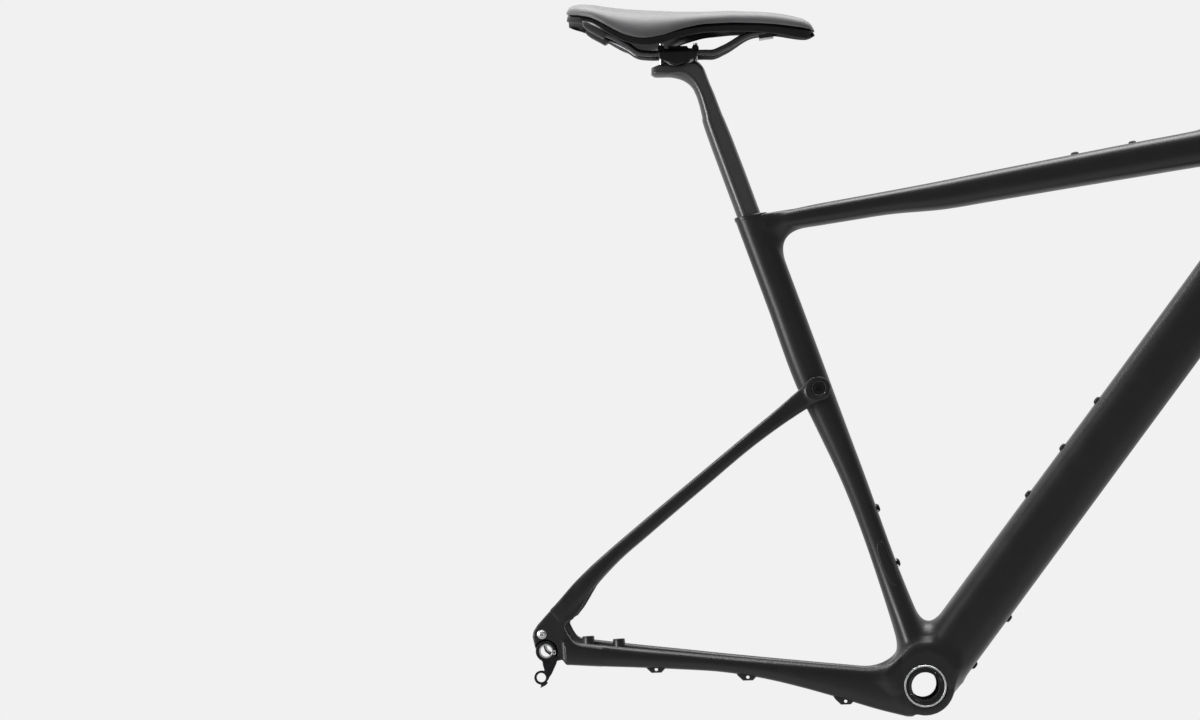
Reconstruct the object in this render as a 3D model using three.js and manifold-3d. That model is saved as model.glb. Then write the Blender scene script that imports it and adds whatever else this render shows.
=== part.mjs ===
// Carbon gravel bicycle frame with its seatpost and saddle, in millimetres.
// Origin: bottom bracket centre. +X forward, +Y to the rider's left, +Z up, wheels on level ground.
import * as THREE from "three";
import Module from "manifold-3d";
import { mergeVertices } from "three/addons/utils/BufferGeometryUtils.js";

const wasm = await Module();
wasm.setup();

// Frame geometry
const SEAT_ANGLE = 73.3;
const DOWN_ANGLE = 50.0;
const HEAD_ANGLE = 71.5;
const TOP_TUBE_RISE = 6.6;
const CHAINSTAY = 415;
const BB_DROP = 65;
const SEAT_TUBE_TOP = 546;
const HEAD_BOTTOM = [433, 450];
const HEAD_LENGTH = 158;
const GAP = 0.3;

// Bottom bracket
const BB_WIDTH = 73;
const BEARING_OUTER_R = 21;
const BEARING_INNER_R = 15;
const BEARING_WIDTH = 7;
const SLEEVE_WALL = 1.6;
const SLEEVE_R = BEARING_OUTER_R + SLEEVE_WALL;
const SHELL_WALL = 10.4;
const BB_OUTER_R = SLEEVE_R + SHELL_WALL;

// Rear end
const HUB_WIDTH = 142;
const DROPOUT_THICK = 7;
const AXLE_HOLE_R = 6;
const FLEX = [-75, 5];
const FLEX_GAP = 1.0;
const KINGPIN = [-94.9, 332.8];
const KINGPIN_EAR_R = 12.5;
const KINGPIN_EAR_IN = 21;
const KINGPIN_EAR_OUT = 29;
const KINGPIN_SEAT_R = 8.3;
const KINGPIN_SHAFT_R = 5;
const KINGPIN_TRAVEL = 5.2;
const TYRE_SPACE = 57;

// Seatpost and its clamp
const POST_DEPTH = 26;
const POST_WIDTH = 27;
const POST_OFFSET = -0.6;
const POST_BOTTOM = 400;
const POST_STEP = 672;
const POST_CLEARANCE = 0.35;
const CLAMP_AT = [-226, 711.6];
const CLAMP_TILT = 3.0;
const CLAMP_PIVOT_UP = 8;
const CLAMP_PIVOT_R = 20;
const CLAMP_BOLT_SPREAD = 19;
const RAIL_R = 3.5;
const RAIL_HALF_GAUGE = 22;
const RAIL_CLEARANCE = 0.5;
// The shell curves down to its sides, so thicker rails, set further apart, hang lower at the nose
const NOSE_DROP = 3 * RAIL_R;

// Bosses are 64 mm apart, as every bottle cage needs
const BOSS_PITCH = 64;
const BOSS_SHANK_R = 2.5;
const BOSS_HEAD_R = 4.4;
const BOSS_HEAD_H = 2.4;
const BOSS_DEPTH = 9;

const V = (x, y, z) => new THREE.Vector3(x, y, z);
const rad = THREE.MathUtils.degToRad;
const Y_AXIS = V(0, 1, 0);

const SEAT_DIR = V(-Math.cos(rad(SEAT_ANGLE)), 0, Math.sin(rad(SEAT_ANGLE)));
const SEAT_FRONT = V(Math.sin(rad(SEAT_ANGLE)), 0, Math.cos(rad(SEAT_ANGLE)));
const DOWN_DIR = V(Math.cos(rad(DOWN_ANGLE)), 0, Math.sin(rad(DOWN_ANGLE)));
const DOWN_UP = V(-Math.sin(rad(DOWN_ANGLE)), 0, Math.cos(rad(DOWN_ANGLE)));
const TOP_UP = V(-Math.sin(rad(TOP_TUBE_RISE)), 0, Math.cos(rad(TOP_TUBE_RISE)));
const HEAD_DIR = V(-Math.cos(rad(HEAD_ANGLE)), 0, Math.sin(rad(HEAD_ANGLE)));
const AXLE = [-Math.sqrt(CHAINSTAY ** 2 - BB_DROP ** 2), BB_DROP];

// Points of the stays and dropouts are given for an axle and hub here. When those move, the points
// at the dropouts move with them, and those along the stays in proportion.
const DRAWN_AXLE = [-409.878, 65];
const DRAWN_HALF_HUB = 71;
const follow = (x, y, z) => {
  const share = THREE.MathUtils.clamp((x - FLEX[0]) / (DRAWN_AXLE[0] + 45 - FLEX[0]), 0, 1);
  return V(
    x + share * (AXLE[0] - DRAWN_AXLE[0]),
    y + Math.sign(y) * share * (HUB_WIDTH / 2 - DRAWN_HALF_HUB),
    z + share * (AXLE[1] - DRAWN_AXLE[1]),
  );
};

// Points given along a tube's own axis
const seatPoint = (up, front, y = 0) =>
  SEAT_DIR.clone().multiplyScalar(up).addScaledVector(SEAT_FRONT, front).setY(y);
const downPoint = (along, up, y = 0) =>
  DOWN_DIR.clone().multiplyScalar(along).addScaledVector(DOWN_UP, up).setY(y);

// A closed three.js geometry as a solid, and a solid as a geometry
function toSolid(geometry) {
  const plain = geometry.clone();
  plain.deleteAttribute("normal");
  plain.deleteAttribute("uv");
  const merged = mergeVertices(plain, 1e-4);
  const mesh = new wasm.Mesh({
    numProp: 3,
    vertProperties: new Float32Array(merged.attributes.position.array),
    triVerts: new Uint32Array(merged.index.array),
  });
  return new wasm.Manifold(mesh);
}

function toGeometry(solid) {
  const mesh = solid.getMesh();
  const geometry = new THREE.BufferGeometry();
  geometry.setAttribute("position", new THREE.BufferAttribute(mesh.vertProperties, 3));
  geometry.setIndex(new THREE.BufferAttribute(mesh.triVerts, 1));
  const flat = geometry.toNonIndexed();
  flat.computeVertexNormals();
  return flat;
}

// The same solid on the other side of the bicycle
function otherSide(solid) {
  const geometry = toGeometry(solid).applyMatrix4(new THREE.Matrix4().makeScale(1, -1, 1));
  const p = geometry.attributes.position;
  for (let i = 0; i < p.count; i += 3) {
    const a = V(0, 0, 0).fromBufferAttribute(p, i + 1);
    const b = V(0, 0, 0).fromBufferAttribute(p, i + 2);
    p.setXYZ(i + 1, b.x, b.y, b.z);
    p.setXYZ(i + 2, a.x, a.y, a.z);
  }
  return toSolid(geometry);
}

// A closed mesh from rings of points, each ring having as many points as the last
function skin(rings) {
  const n = rings[0].length;
  const points = rings.flat();
  const faces = [];
  for (let i = 0; i < rings.length - 1; i++)
    for (let j = 0; j < n; j++) {
      const a = i * n + j;
      const b = i * n + ((j + 1) % n);
      faces.push(a, b, a + n, b, b + n, a + n);
    }
  for (const end of [0, rings.length - 1]) {
    const centre = V(0, 0, 0);
    rings[end].forEach((p) => centre.addScaledVector(p, 1 / n));
    points.push(centre);
    const c = points.length - 1;
    for (let j = 0; j < n; j++) {
      const a = end * n + j;
      const b = end * n + ((j + 1) % n);
      if (end === 0) faces.push(c, b, a);
      else faces.push(c, a, b);
    }
  }
  const geometry = new THREE.BufferGeometry().setFromPoints(points);
  geometry.setIndex(faces);
  const solid = toSolid(geometry);
  if (solid.volume() > 0) return solid;
  for (let i = 0; i < faces.length; i += 3) [faces[i], faces[i + 1]] = [faces[i + 1], faces[i]];
  geometry.setIndex(faces);
  return toSolid(geometry);
}

// A moulded tube: stations give its centre, half width (across Y), half depth and squareness
function mouldedTube(stations, { steps = 14, around = 24, grow = 0 } = {}) {
  const path = new THREE.CatmullRomCurve3(stations.map((s) => s.at));
  path.curveType = "catmullrom";
  path.tension = 0.35;
  const size = new THREE.CatmullRomCurve3(stations.map((s) => V(s.wide, s.deep, s.square ?? 2.4)));
  size.curveType = "catmullrom";
  size.tension = 0.35;
  const rings = [];
  for (let i = 0; i <= steps; i++) {
    const centre = path.getPoint(i / steps);
    const along = path.getTangent(i / steps);
    const across = Y_AXIS.clone().addScaledVector(along, -along.y).normalize();
    const up = along.clone().cross(across).normalize();
    const s = size.getPoint(i / steps);
    const ring = [];
    for (let j = 0; j < around; j++) {
      const a = (2 * Math.PI * (j + 0.5)) / around;
      const reach = (v) => Math.sign(v) * Math.abs(v) ** (2 / s.z);
      ring.push(
        centre
          .clone()
          .addScaledVector(across, (s.x + grow) * reach(Math.cos(a)))
          .addScaledVector(up, (s.y + grow) * reach(Math.sin(a))),
      );
    }
    rings.push(ring);
  }
  return skin(rings);
}

// A turned part: profile of [radius, along] pairs that closes on itself, about the line from -> direction
function turned(profile, from, direction, segments = 24) {
  const closed = [...profile, profile[0]].map(([r, h]) => new THREE.Vector2(r, h));
  const geometry = new THREE.LatheGeometry(closed, segments);
  const turn = new THREE.Quaternion().setFromUnitVectors(Y_AXIS, direction.clone().normalize());
  geometry.applyQuaternion(turn).translate(from.x, from.y, from.z);
  const solid = toSolid(geometry);
  if (solid.volume() > 0) return solid;
  return turned([...profile].reverse(), from, direction, segments);
}

const rod = (radius, from, to, segments = 20) => {
  const length = from.distanceTo(to);
  const profile = [
    [0, 0],
    [radius, 0],
    [radius, length],
    [0, length],
  ];
  return turned(profile, from, to.clone().sub(from), segments);
};

const ring = (inner, outer, from, to, segments = 32) => {
  const length = from.distanceTo(to);
  const profile = [
    [inner, 0],
    [outer, 0],
    [outer, length],
    [inner, length],
  ];
  return turned(profile, from, to.clone().sub(from), segments);
};

// A flat plate: its outline in X and Z, thick from y0 to y1
function plate(shape, y0, y1, curveSegments = 8) {
  const options = { depth: Math.abs(y1 - y0), bevelEnabled: false, curveSegments };
  const geometry = new THREE.ExtrudeGeometry(shape, options);
  geometry.rotateX(Math.PI / 2).translate(0, Math.max(y0, y1), 0);
  return toSolid(geometry);
}

const polygon = (points) => new THREE.Shape(points.map(([x, z]) => new THREE.Vector2(x, z)));

function box(size, at, turnY = 0) {
  const geometry = new THREE.BoxGeometry(...size);
  geometry.rotateY(turnY).translate(at.x, at.y, at.z);
  return toSolid(geometry);
}

const allOf = (solids) => solids.reduce((sum, s) => sum.add(s));

// ---- Front triangle ----

const headLow = V(HEAD_BOTTOM[0], 0, HEAD_BOTTOM[1]);
const headAt = (up) => headLow.clone().addScaledVector(HEAD_DIR, up);

function headOuter(grow = 0) {
  const profile = [
    [0, 0],
    [30 + grow, 0],
    [30 + grow, 14],
    [27 + grow, 45],
    [25.5 + grow, 100],
    [25.5 + grow, HEAD_LENGTH],
    [0, HEAD_LENGTH],
  ];
  return turned(profile, headLow, HEAD_DIR, 28);
}

// Lower bearing 52 mm, upper bearing 42 mm, with a waist between the two seats
function headTube() {
  const bore = [
    [0, -1],
    [26.2, -1],
    [26.2, 9],
    [23, 12],
    [18, 40],
    [18, HEAD_LENGTH - 24],
    [19, HEAD_LENGTH - 10],
    [21.2, HEAD_LENGTH - 8],
    [21.2, HEAD_LENGTH + 1],
    [0, HEAD_LENGTH + 1],
  ];
  return headOuter().subtract(turned(bore, headLow, HEAD_DIR, 28));
}

const seatStations = [
  { at: seatPoint(20, 5), wide: 30, deep: 20, square: 2.6 },
  { at: seatPoint(62, 5.4), wide: 25, deep: 16, square: 2.6 },
  { at: seatPoint(105, 5.6), wide: 18, deep: 13.6, square: 2.5 },
  { at: seatPoint(250, 5.9), wide: 17, deep: 13.6, square: 2.5 },
  { at: seatPoint(300, 3.6), wide: 18.5, deep: 15.6, square: 2.5 },
  { at: seatPoint(350, 1.4), wide: 19.6, deep: 18.2, square: 2.6 },
  { at: seatPoint(450, 1.4), wide: 19, deep: 18.2, square: 2.6 },
  { at: seatPoint(SEAT_TUBE_TOP + 20, 1.2), wide: 18.6, deep: 17.8, square: 2.6 },
];

const seatOuter = (grow = 0) => mouldedTube(seatStations, { steps: 15, around: 20, grow });

// The post's D section: round at the back, flatter in front
function postStations(from, to) {
  const one = (p) => ({
    at: seatPoint(p, POST_OFFSET),
    wide: POST_WIDTH / 2,
    deep: POST_DEPTH / 2,
    square: 2.3,
  });
  return [from, (2 * from + to) / 3, (from + 2 * to) / 3, to].map(one);
}

const postCore = (from, to, grow = 0) =>
  mouldedTube(postStations(from, to), { steps: 2, around: 20, grow });

// Binder wedge pocket, in front of the post
const WEDGE_LOW = 520;
const wedgeBlock = (from, to, grow) =>
  box(
    [4.0 + 2 * grow, 15 + 2 * grow, to - from],
    seatPoint((from + to) / 2, 15.4),
    -rad(90 - SEAT_ANGLE),
  );

// Room for the pivot axle to move forward as the stays flex
function kingpinSlot() {
  const r = KINGPIN_SHAFT_R + 0.7;
  const slot = new THREE.Shape();
  slot.absarc(KINGPIN[0] - 0.4, KINGPIN[1], r, Math.PI / 2, (3 * Math.PI) / 2);
  slot.absarc(KINGPIN[0] + KINGPIN_TRAVEL, KINGPIN[1], r, -Math.PI / 2, Math.PI / 2);
  return plate(slot, -30, 30, 10);
}

// The internal cable port, low on the right of the seat tube
function portOutline(grow) {
  const r = 4.2 + grow;
  const shape = new THREE.Shape();
  const low = seatPoint(116, 10.5);
  const high = seatPoint(158, 9);
  shape.absarc(high.x, high.z, r, rad(SEAT_ANGLE) + 0.33, rad(SEAT_ANGLE) + 0.33 + Math.PI);
  shape.absarc(low.x, low.z, r, rad(SEAT_ANGLE) + 0.33 + Math.PI, rad(SEAT_ANGLE) + 0.33 + 2 * Math.PI);
  return shape;
}

// Everything above the line that the collar's rim and the top tube share
const RIM_AT = V(-171.4, 0, 524.9);
const aboveRim = () =>
  box([300, 80, 60], RIM_AT.clone().addScaledVector(TOP_UP, 30), -rad(TOP_TUBE_RISE));

function seatTube() {
  return seatOuter()
    .subtract(aboveRim())
    .subtract(rod(BB_OUTER_R + GAP, V(0, -60, 0), V(0, 60, 0), 48))
    .subtract(postCore(POST_BOTTOM - 36, SEAT_TUBE_TOP + 20, POST_CLEARANCE))
    .subtract(wedgeBlock(WEDGE_LOW - GAP, SEAT_TUBE_TOP + 20, 0.3))
    .subtract(kingpinSlot())
    .subtract(plate(portOutline(GAP), -25, -14));
}

const topStations = [
  { at: V(-168, 0, 514), wide: 16, deep: 10, square: 2.6 },
  { at: V(-100, 0, 521), wide: 16, deep: 11.6, square: 2.6 },
  { at: V(-20, 0, 531.2), wide: 17, deep: 12.4, square: 2.6 },
  { at: V(60, 0, 538), wide: 19, deep: 16.2, square: 2.7 },
  { at: V(190, 0, 553.2), wide: 21, deep: 17.8, square: 2.7 },
  { at: V(320, 0, 568), wide: 23, deep: 19.6, square: 2.7 },
  { at: V(392, 0, 576), wide: 24.5, deep: 21.5, square: 2.7 },
];
const topOuter = (grow = 0) => mouldedTube(topStations, { steps: 12, around: 20, grow });

function topTube() {
  const cluster = mouldedTube(
    [
      { at: V(-150, 0, 488), wide: 15, deep: 12, square: 2.4 },
      { at: V(-122, 0, 506), wide: 15, deep: 11, square: 2.4 },
      { at: V(-92, 0, 518), wide: 15, deep: 8, square: 2.4 },
    ],
    { steps: 4, around: 16 },
  );
  return topOuter()
    .add(cluster)
    .subtract(seatOuter(GAP))
    .subtract(seatOuter(GAP).translate([-12, 0, 3]))
    .subtract(box([60, 60, 60], seatPoint(SEAT_TUBE_TOP, -12), -rad(90 - SEAT_ANGLE)))
    .subtract(headOuter(GAP));
}

const downStations = [
  { at: downPoint(10, 0), wide: 34, deep: 31.5, square: 3 },
  { at: downPoint(90, 0), wide: 31, deep: 31.5, square: 3 },
  { at: downPoint(240, 0), wide: 27, deep: 31.5, square: 2.9 },
  { at: downPoint(430, 0), wide: 27, deep: 31.5, square: 2.9 },
  { at: downPoint(560, 0), wide: 27, deep: 32, square: 2.9 },
  { at: downPoint(646, 0), wide: 27, deep: 34, square: 2.8 },
];
const downOuter = (grow = 0) => mouldedTube(downStations, { steps: 9, around: 20, grow });

function downTube() {
  return downOuter()
    .subtract(rod(BB_OUTER_R + GAP, V(0, -60, 0), V(0, 60, 0), 48))
    .subtract(seatOuter(GAP))
    .subtract(seatOuter(GAP).translate([-9, 0, -3]))
    .subtract(topOuter(GAP))
    .subtract(headOuter(GAP));
}

// ---- Bottom bracket ----

const stayStations = [
  { at: follow(-22, -29, -6), wide: 10, deep: 26, square: 2.6 },
  { at: follow(-50, -34, -1), wide: 9, deep: 22, square: 2.6 },
  { at: follow(-90, -37, 9), wide: 8.4, deep: 17.3, square: 2.5 },
  { at: follow(-134, -40, 20), wide: 8.2, deep: 13, square: 2.4 },
  { at: follow(-178, -43, 30), wide: 8.2, deep: 9.8, square: 2.3 },
  { at: follow(-222, -47, 38.2), wide: 8.2, deep: 8.5, square: 2.3 },
  { at: follow(-266, -52, 44.6), wide: 8, deep: 9.2, square: 2.3 },
  { at: follow(-311, -59, 50.6), wide: 8, deep: 10.2, square: 2.3 },
  { at: follow(-358, -68, 57), wide: 7, deep: 11.6, square: 2.5 },
  { at: follow(-385, -73, 61), wide: 5, deep: 12.5, square: 2.8 },
];
const stayOuter = (grow = 0) => mouldedTube(stayStations, { steps: 15, around: 14, grow });

const behindFlex = (x) => box([600, 200, 300], V(x - 300, 0, 0));
const aheadOfFlex = (x) => box([600, 200, 300], V(x + 300, 0, 0));

function bottomBracketShell() {
  const half = BB_WIDTH / 2;
  const body = rod(BB_OUTER_R, V(0, -half, 0), V(0, half, 0), 48);
  const root = stayOuter().intersect(aheadOfFlex(FLEX[0] + FLEX_GAP / 2));
  const trimmed = root
    .subtract(seatOuter(GAP))
    .subtract(seatOuter(GAP).translate([8, 0, -6]))
    .subtract(box([200, 200, 300], V(100, -100 - half, 0)));
  const bore = rod(SLEEVE_R + GAP, V(0, -60, 0), V(0, 60, 0), 48);
  const tyre = rod(356, V(AXLE[0], -TYRE_SPACE / 2, AXLE[1]), V(AXLE[0], TYRE_SPACE / 2, AXLE[1]), 72);
  return body.add(trimmed).add(otherSide(trimmed)).subtract(bore).subtract(tyre);
}

// One alloy sleeve through the shell, with a shoulder behind each bearing
function bottomBracketSleeve() {
  const half = BB_WIDTH / 2;
  const seat = half - BEARING_WIDTH - 0.6;
  const profile = [
    [SLEEVE_R, -half - 0.6],
    [SLEEVE_R, half + 0.6],
    [BEARING_OUTER_R + 0.15, half + 0.6],
    [BEARING_OUTER_R + 0.15, seat],
    [19.2, seat],
    [19.2, -seat],
    [BEARING_OUTER_R + 0.15, -seat],
    [BEARING_OUTER_R + 0.15, -half - 0.6],
  ];
  return turned(profile, V(0, 0, 0), Y_AXIS, 32);
}

const bbBearing = (inner, outer, side) => {
  const outside = side * (BB_WIDTH / 2 - 0.2);
  return ring(inner, outer, V(0, outside - side * BEARING_WIDTH, 0), V(0, outside, 0), 28);
};

// ---- Rear triangle ----

const holeY = (r, x, z) => rod(r, V(x, -120, z), V(x, 120, z), 18);

// The forged end: seatstay foot, axle boss, chainstay foot
function dropoutShape() {
  const s = new THREE.Shape();
  const [ax, az] = AXLE;
  s.moveTo(ax + 16.878, az + 47);
  s.lineTo(ax - 6.122, az + 28);
  s.quadraticCurveTo(ax - 14.122, az + 19, ax - 13.622, az + 9);
  s.quadraticCurveTo(ax - 13.122, az - 15, ax + 7.878, az - 17.5);
  s.lineTo(ax + 37.878, az - 16.5);
  s.lineTo(ax + 43.878, az + 5);
  s.quadraticCurveTo(ax + 32.878, az + 9, ax + 32.378, az + 23);
  s.quadraticCurveTo(ax + 32.378, az + 39, ax + 41.878, az + 48);
  return s;
}

function dropout() {
  const outer = HUB_WIDTH / 2 + DROPOUT_THICK;
  return plate(dropoutShape(), -outer, -HUB_WIDTH / 2)
    .subtract(holeY(AXLE_HOLE_R + 5.9, AXLE[0], AXLE[1]).intersect(box([60, 6, 60], V(AXLE[0], -outer, AXLE[1]))))
    .subtract(holeY(AXLE_HOLE_R, AXLE[0], AXLE[1]))
    .subtract(holeY(RACK_R + GAP, RACK_AT[0], RACK_AT[1]));
}
const RACK_R = 2.5;
const RACK_AT = [AXLE[0] - 2.722, AXLE[1] + 19.4];

const seatstayStations = [
  { at: V(KINGPIN[0] - 4, -25, KINGPIN[1] - 3), wide: 4, deep: 10, square: 3 },
  { at: follow(-132, -27.6, 309.5), wide: 5.6, deep: 9.4, square: 2.8 },
  { at: follow(-168, -35, 285.2), wide: 6.4, deep: 7.6, square: 2.5 },
  { at: follow(-234, -45, 236.2), wide: 6.4, deep: 7.5, square: 2.4 },
  { at: follow(-299, -55, 187.8), wide: 6.6, deep: 7.6, square: 2.4 },
  { at: follow(-331, -61, 163.5), wide: 6.6, deep: 8, square: 2.4 },
  { at: follow(-360, -68, 139.2), wide: 6, deep: 9.2, square: 2.5 },
  { at: follow(-382, -73, 114), wide: 4.6, deep: 11, square: 2.8 },
];

// Space kept for the dropout plate and, inside it, for the hub
const dropoutRoom = () =>
  plate(dropoutShape(), -HUB_WIDTH / 2 - DROPOUT_THICK - GAP, -HUB_WIDTH / 2 + GAP)
    .add(box([90, 12, 46], follow(-425, -74, 70)))
    .add(box([100, HUB_WIDTH, 110], follow(-422, 0, 75)));

function seatstay() {
  const k = V(KINGPIN[0], 0, KINGPIN[1]);
  const ear = rod(KINGPIN_EAR_R, k.clone().setY(-KINGPIN_EAR_OUT), k.clone().setY(-KINGPIN_EAR_IN), 32);
  const inside = box([80, 30, 80], V(-95, -6, 340));
  return mouldedTube(seatstayStations, { steps: 11, around: 14 })
    .subtract(inside)
    .add(ear)
    .subtract(holeY(KINGPIN_SEAT_R, KINGPIN[0], KINGPIN[1]))
    .subtract(dropoutRoom());
}

// Cable guide tabs hang below the right chainstay
const GUIDE_AT = [follow(-292, -56, 41), follow(-193, -45, 26), follow(-88, -38, -7)];
function guideTab({ x, y, z }) {
  const tab = box([17, 5, 12], V(x, y, z + 1), rad(8));
  return tab.subtract(rod(1.7, V(x, y - 9, z - 2), V(x, y + 9, z - 2), 12));
}

function chainstay() {
  return stayOuter()
    .intersect(behindFlex(FLEX[0] - FLEX_GAP / 2))
    .subtract(dropoutRoom());
}

const chainstayRight = () => allOf([chainstay(), ...GUIDE_AT.map(guideTab)]);

// Flat mount for the brake: two posts on the left chainstay
const BRAKE_PITCH = 34;
const BRAKE_REAR = follow(-368.5, 61, 66);
const BRAKE_POSTS = [BRAKE_REAR, BRAKE_REAR.clone().add(V(BRAKE_PITCH, 0, -5))];
const brakePost = ({ x, y, z }, r, drop) => rod(r, V(x, y, z - drop), V(x, y, z + 6), 20);

function chainstayLeft() {
  const bare = otherSide(chainstay());
  const posts = BRAKE_POSTS.map((p) => brakePost(p, 5, 6));
  const holes = BRAKE_POSTS.map((p) => brakePost(p.clone().add(V(0, 0, 1)), BOSS_SHANK_R + 0.2, 9));
  return allOf([bare, ...posts]).subtract(allOf(holes)).subtract(otherSide(dropoutRoom()));
}

// The bar between the seatstays, with the fender boss under it
const BRIDGE_AT = follow(-130, 0, 311);
function bridgeBar() {
  const rings = [];
  for (let i = 0; i <= 6; i++) {
    const y = -34 + (68 * i) / 6;
    const r = 7 + 2.2 * (y / 34) ** 2;
    const one = [];
    for (let j = 0; j < 16; j++) {
      const a = (2 * Math.PI * j) / 16;
      one.push(V(BRIDGE_AT.x + 1.25 * r * Math.cos(a), y, BRIDGE_AT.z + r * Math.sin(a)));
    }
    rings.push(one);
  }
  const grown = mouldedTube(seatstayStations, { steps: 11, around: 14, grow: GAP });
  const { x, z } = BRIDGE_AT;
  const boss = rod(BOSS_SHANK_R + GAP, V(x - 3, 0, z - 21), V(x - 3, 0, z + 1.6), 12);
  return skin(rings)
    .subtract(grown)
    .subtract(otherSide(grown))
    .subtract(box([80, 40, 80], V(x, -20 - 27, z)))
    .subtract(box([80, 40, 80], V(x, 20 + 27, z)))
    .subtract(boss);
}

// Bearings sit in the ears; one axle runs through both and is held by a bolt on the left
const earBearing = (side) =>
  ring(
    KINGPIN_SHAFT_R + 0.3,
    KINGPIN_SEAT_R - GAP,
    V(KINGPIN[0], side * (KINGPIN_EAR_IN + 0.7), KINGPIN[1]),
    V(KINGPIN[0], side * (KINGPIN_EAR_IN + 5.7), KINGPIN[1]),
    24,
  );

function kingpinAxle() {
  const end = KINGPIN_EAR_IN + 6;
  const profile = [
    [0, -end - 2.2],
    [3.1, -end - 2.2],
    [6, -end - 2.2],
    [6.2, -end],
    [KINGPIN_SHAFT_R, -end],
    [KINGPIN_SHAFT_R, end - 0.2],
    [0, end - 0.2],
  ];
  const socket = rod(2.6, V(0, -end - 4, 0), V(0, -end + 1.5, 0), 6);
  const thread = rod(3.2, V(0, end - 14, 0), V(0, end + 2, 0), 20);
  return turned(profile, V(0, 0, 0), Y_AXIS, 20)
    .subtract(socket)
    .subtract(thread)
    .translate([KINGPIN[0], 0, KINGPIN[1]]);
}

function kingpinBolt() {
  const end = KINGPIN_EAR_IN + 6;
  const profile = [
    [0, end - 12],
    [2.9, end - 12],
    [2.9, end + 0.1],
    [6.2, end + 0.1],
    [6, end + 2.3],
    [0, end + 2.3],
  ];
  const socket = rod(2.6, V(0, end - 1.5, 0), V(0, end + 4, 0), 6);
  return turned(profile, V(0, 0, 0), Y_AXIS, 20)
    .subtract(socket)
    .translate([KINGPIN[0], 0, KINGPIN[1]]);
}

// The replaceable hanger: a round plate in the right dropout, an arm and an eye for the derailleur
function hangerShape() {
  const s = new THREE.Shape();
  const [ax, az] = AXLE;
  s.absarc(ax, az, 11.4, rad(-20), rad(215), false);
  s.quadraticCurveTo(ax - 12, az - 13, ax - 13.5, az - 25);
  s.absarc(ax - 6.8, az - 28.1, 7.6, rad(165), rad(330), false);
  s.quadraticCurveTo(ax + 6, az - 19, ax + 9.5, az - 9);
  const axleHole = new THREE.Path().absarc(ax, az, AXLE_HOLE_R, 0, 2 * Math.PI, true);
  const eye = new THREE.Path().absarc(ax - 6.8, az - 28.1, 5, 0, 2 * Math.PI, true);
  s.holes.push(axleHole, eye);
  return s;
}

const HANGER_BOLT = [AXLE[0] + 8.6, AXLE[1] - 2];

function hanger() {
  const outer = HUB_WIDTH / 2 + DROPOUT_THICK;
  const web = plate(hangerShape(), -outer - 2.6, -outer + 2.4, 6);
  const clear = plate(dropoutShape(), -outer - GAP, 0);
  const seat = holeY(AXLE_HOLE_R + 5.6, AXLE[0], AXLE[1]);
  const inSeat = web.intersect(seat);
  const claw = box([5, 5, 9], V(AXLE[0] - 4.6, -outer - 0.1, AXLE[1] - 38), rad(-12));
  return web
    .subtract(clear)
    .add(inSeat)
    .add(claw)
    .subtract(holeY(1.9, HANGER_BOLT[0], HANGER_BOLT[1]));
}

function hangerBolt() {
  const outer = HUB_WIDTH / 2 + DROPOUT_THICK;
  const [x, z] = HANGER_BOLT;
  const head = rod(2.2, V(x, -outer - 3.9, z), V(x, -outer - 2.9, z), 16);
  return head.add(rod(1.6, V(x, -outer - 3.2, z), V(x, -outer + 2.2, z), 16));
}

function rackBolt() {
  const outer = HUB_WIDTH / 2 + DROPOUT_THICK;
  const [x, z] = RACK_AT;
  const head = rod(4.4, V(x, -outer - 2.4, z), V(x, -outer - GAP, z), 18);
  const shank = rod(RACK_R, V(x, -outer - 1, z), V(x, -HUB_WIDTH / 2 - 0.6, z), 14);
  return head.add(shank);
}

// ---- Seatpost and clamp ----

const clampPoint = (along, y, up) =>
  V(along, y, up).applyAxisAngle(Y_AXIS, rad(CLAMP_TILT)).add(V(CLAMP_AT[0], 0, CLAMP_AT[1]));
const clampLine = (r, y, up, half, segments = 20) =>
  rod(r, clampPoint(-half, y, up), clampPoint(half, y, up), segments);
const clampUpright = (r, along, low, high, segments = 20) =>
  rod(r, clampPoint(along, 0, low), clampPoint(along, 0, high), segments);

// A profile in the clamp's own plane, thick across Y
function clampPlate(points, y0, y1) {
  const turn = new THREE.Matrix4().makeRotationY(rad(CLAMP_TILT));
  const geometry = toGeometry(plate(polygon(points), y0, y1)).applyMatrix4(turn);
  return toSolid(geometry.translate(CLAMP_AT[0], 0, CLAMP_AT[1]));
}

const pivotDrum = (r, half) =>
  rod(r, clampPoint(0, -half, CLAMP_PIVOT_UP), clampPoint(0, half, CLAMP_PIVOT_UP), 48);

function seatpost() {
  const shaft = postCore(POST_BOTTOM, POST_STEP, 0);
  const neck = mouldedTube(
    [
      { at: seatPoint(POST_STEP - 20, 0.5), wide: 12.6, deep: 11.6, square: 2.3 },
      { at: seatPoint(POST_STEP + 8, 0.6), wide: 12.4, deep: 11.6, square: 2.3 },
      { at: seatPoint(700, 0), wide: 12.6, deep: 12, square: 2.4 },
      { at: V(-209, 0, 688), wide: 13, deep: 12.5, square: 2.5 },
      { at: V(-226, 0, 694.5), wide: 13.5, deep: 10.5, square: 2.6 },
      { at: V(-244, 0, 695), wide: 13.5, deep: 9.4, square: 2.8 },
      { at: V(-256, 0, 694.5), wide: 12.5, deep: 8, square: 3 },
    ],
    { steps: 14, around: 20 },
  );
  const slots = [-1, 1].map((side) => {
    const low = clampPoint(side * CLAMP_BOLT_SPREAD, 0, -17.4);
    return box([17.2, 9.2, 22], low, rad(CLAMP_TILT));
  });
  const above = clampPlate([[-60, -7.4], [60, -7.4], [60, 60], [-60, 60]], -40, 40);
  return shaft.add(neck).subtract(above).subtract(pivotDrum(CLAMP_PIVOT_R + GAP, 40)).subtract(allOf(slots));
}

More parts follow.
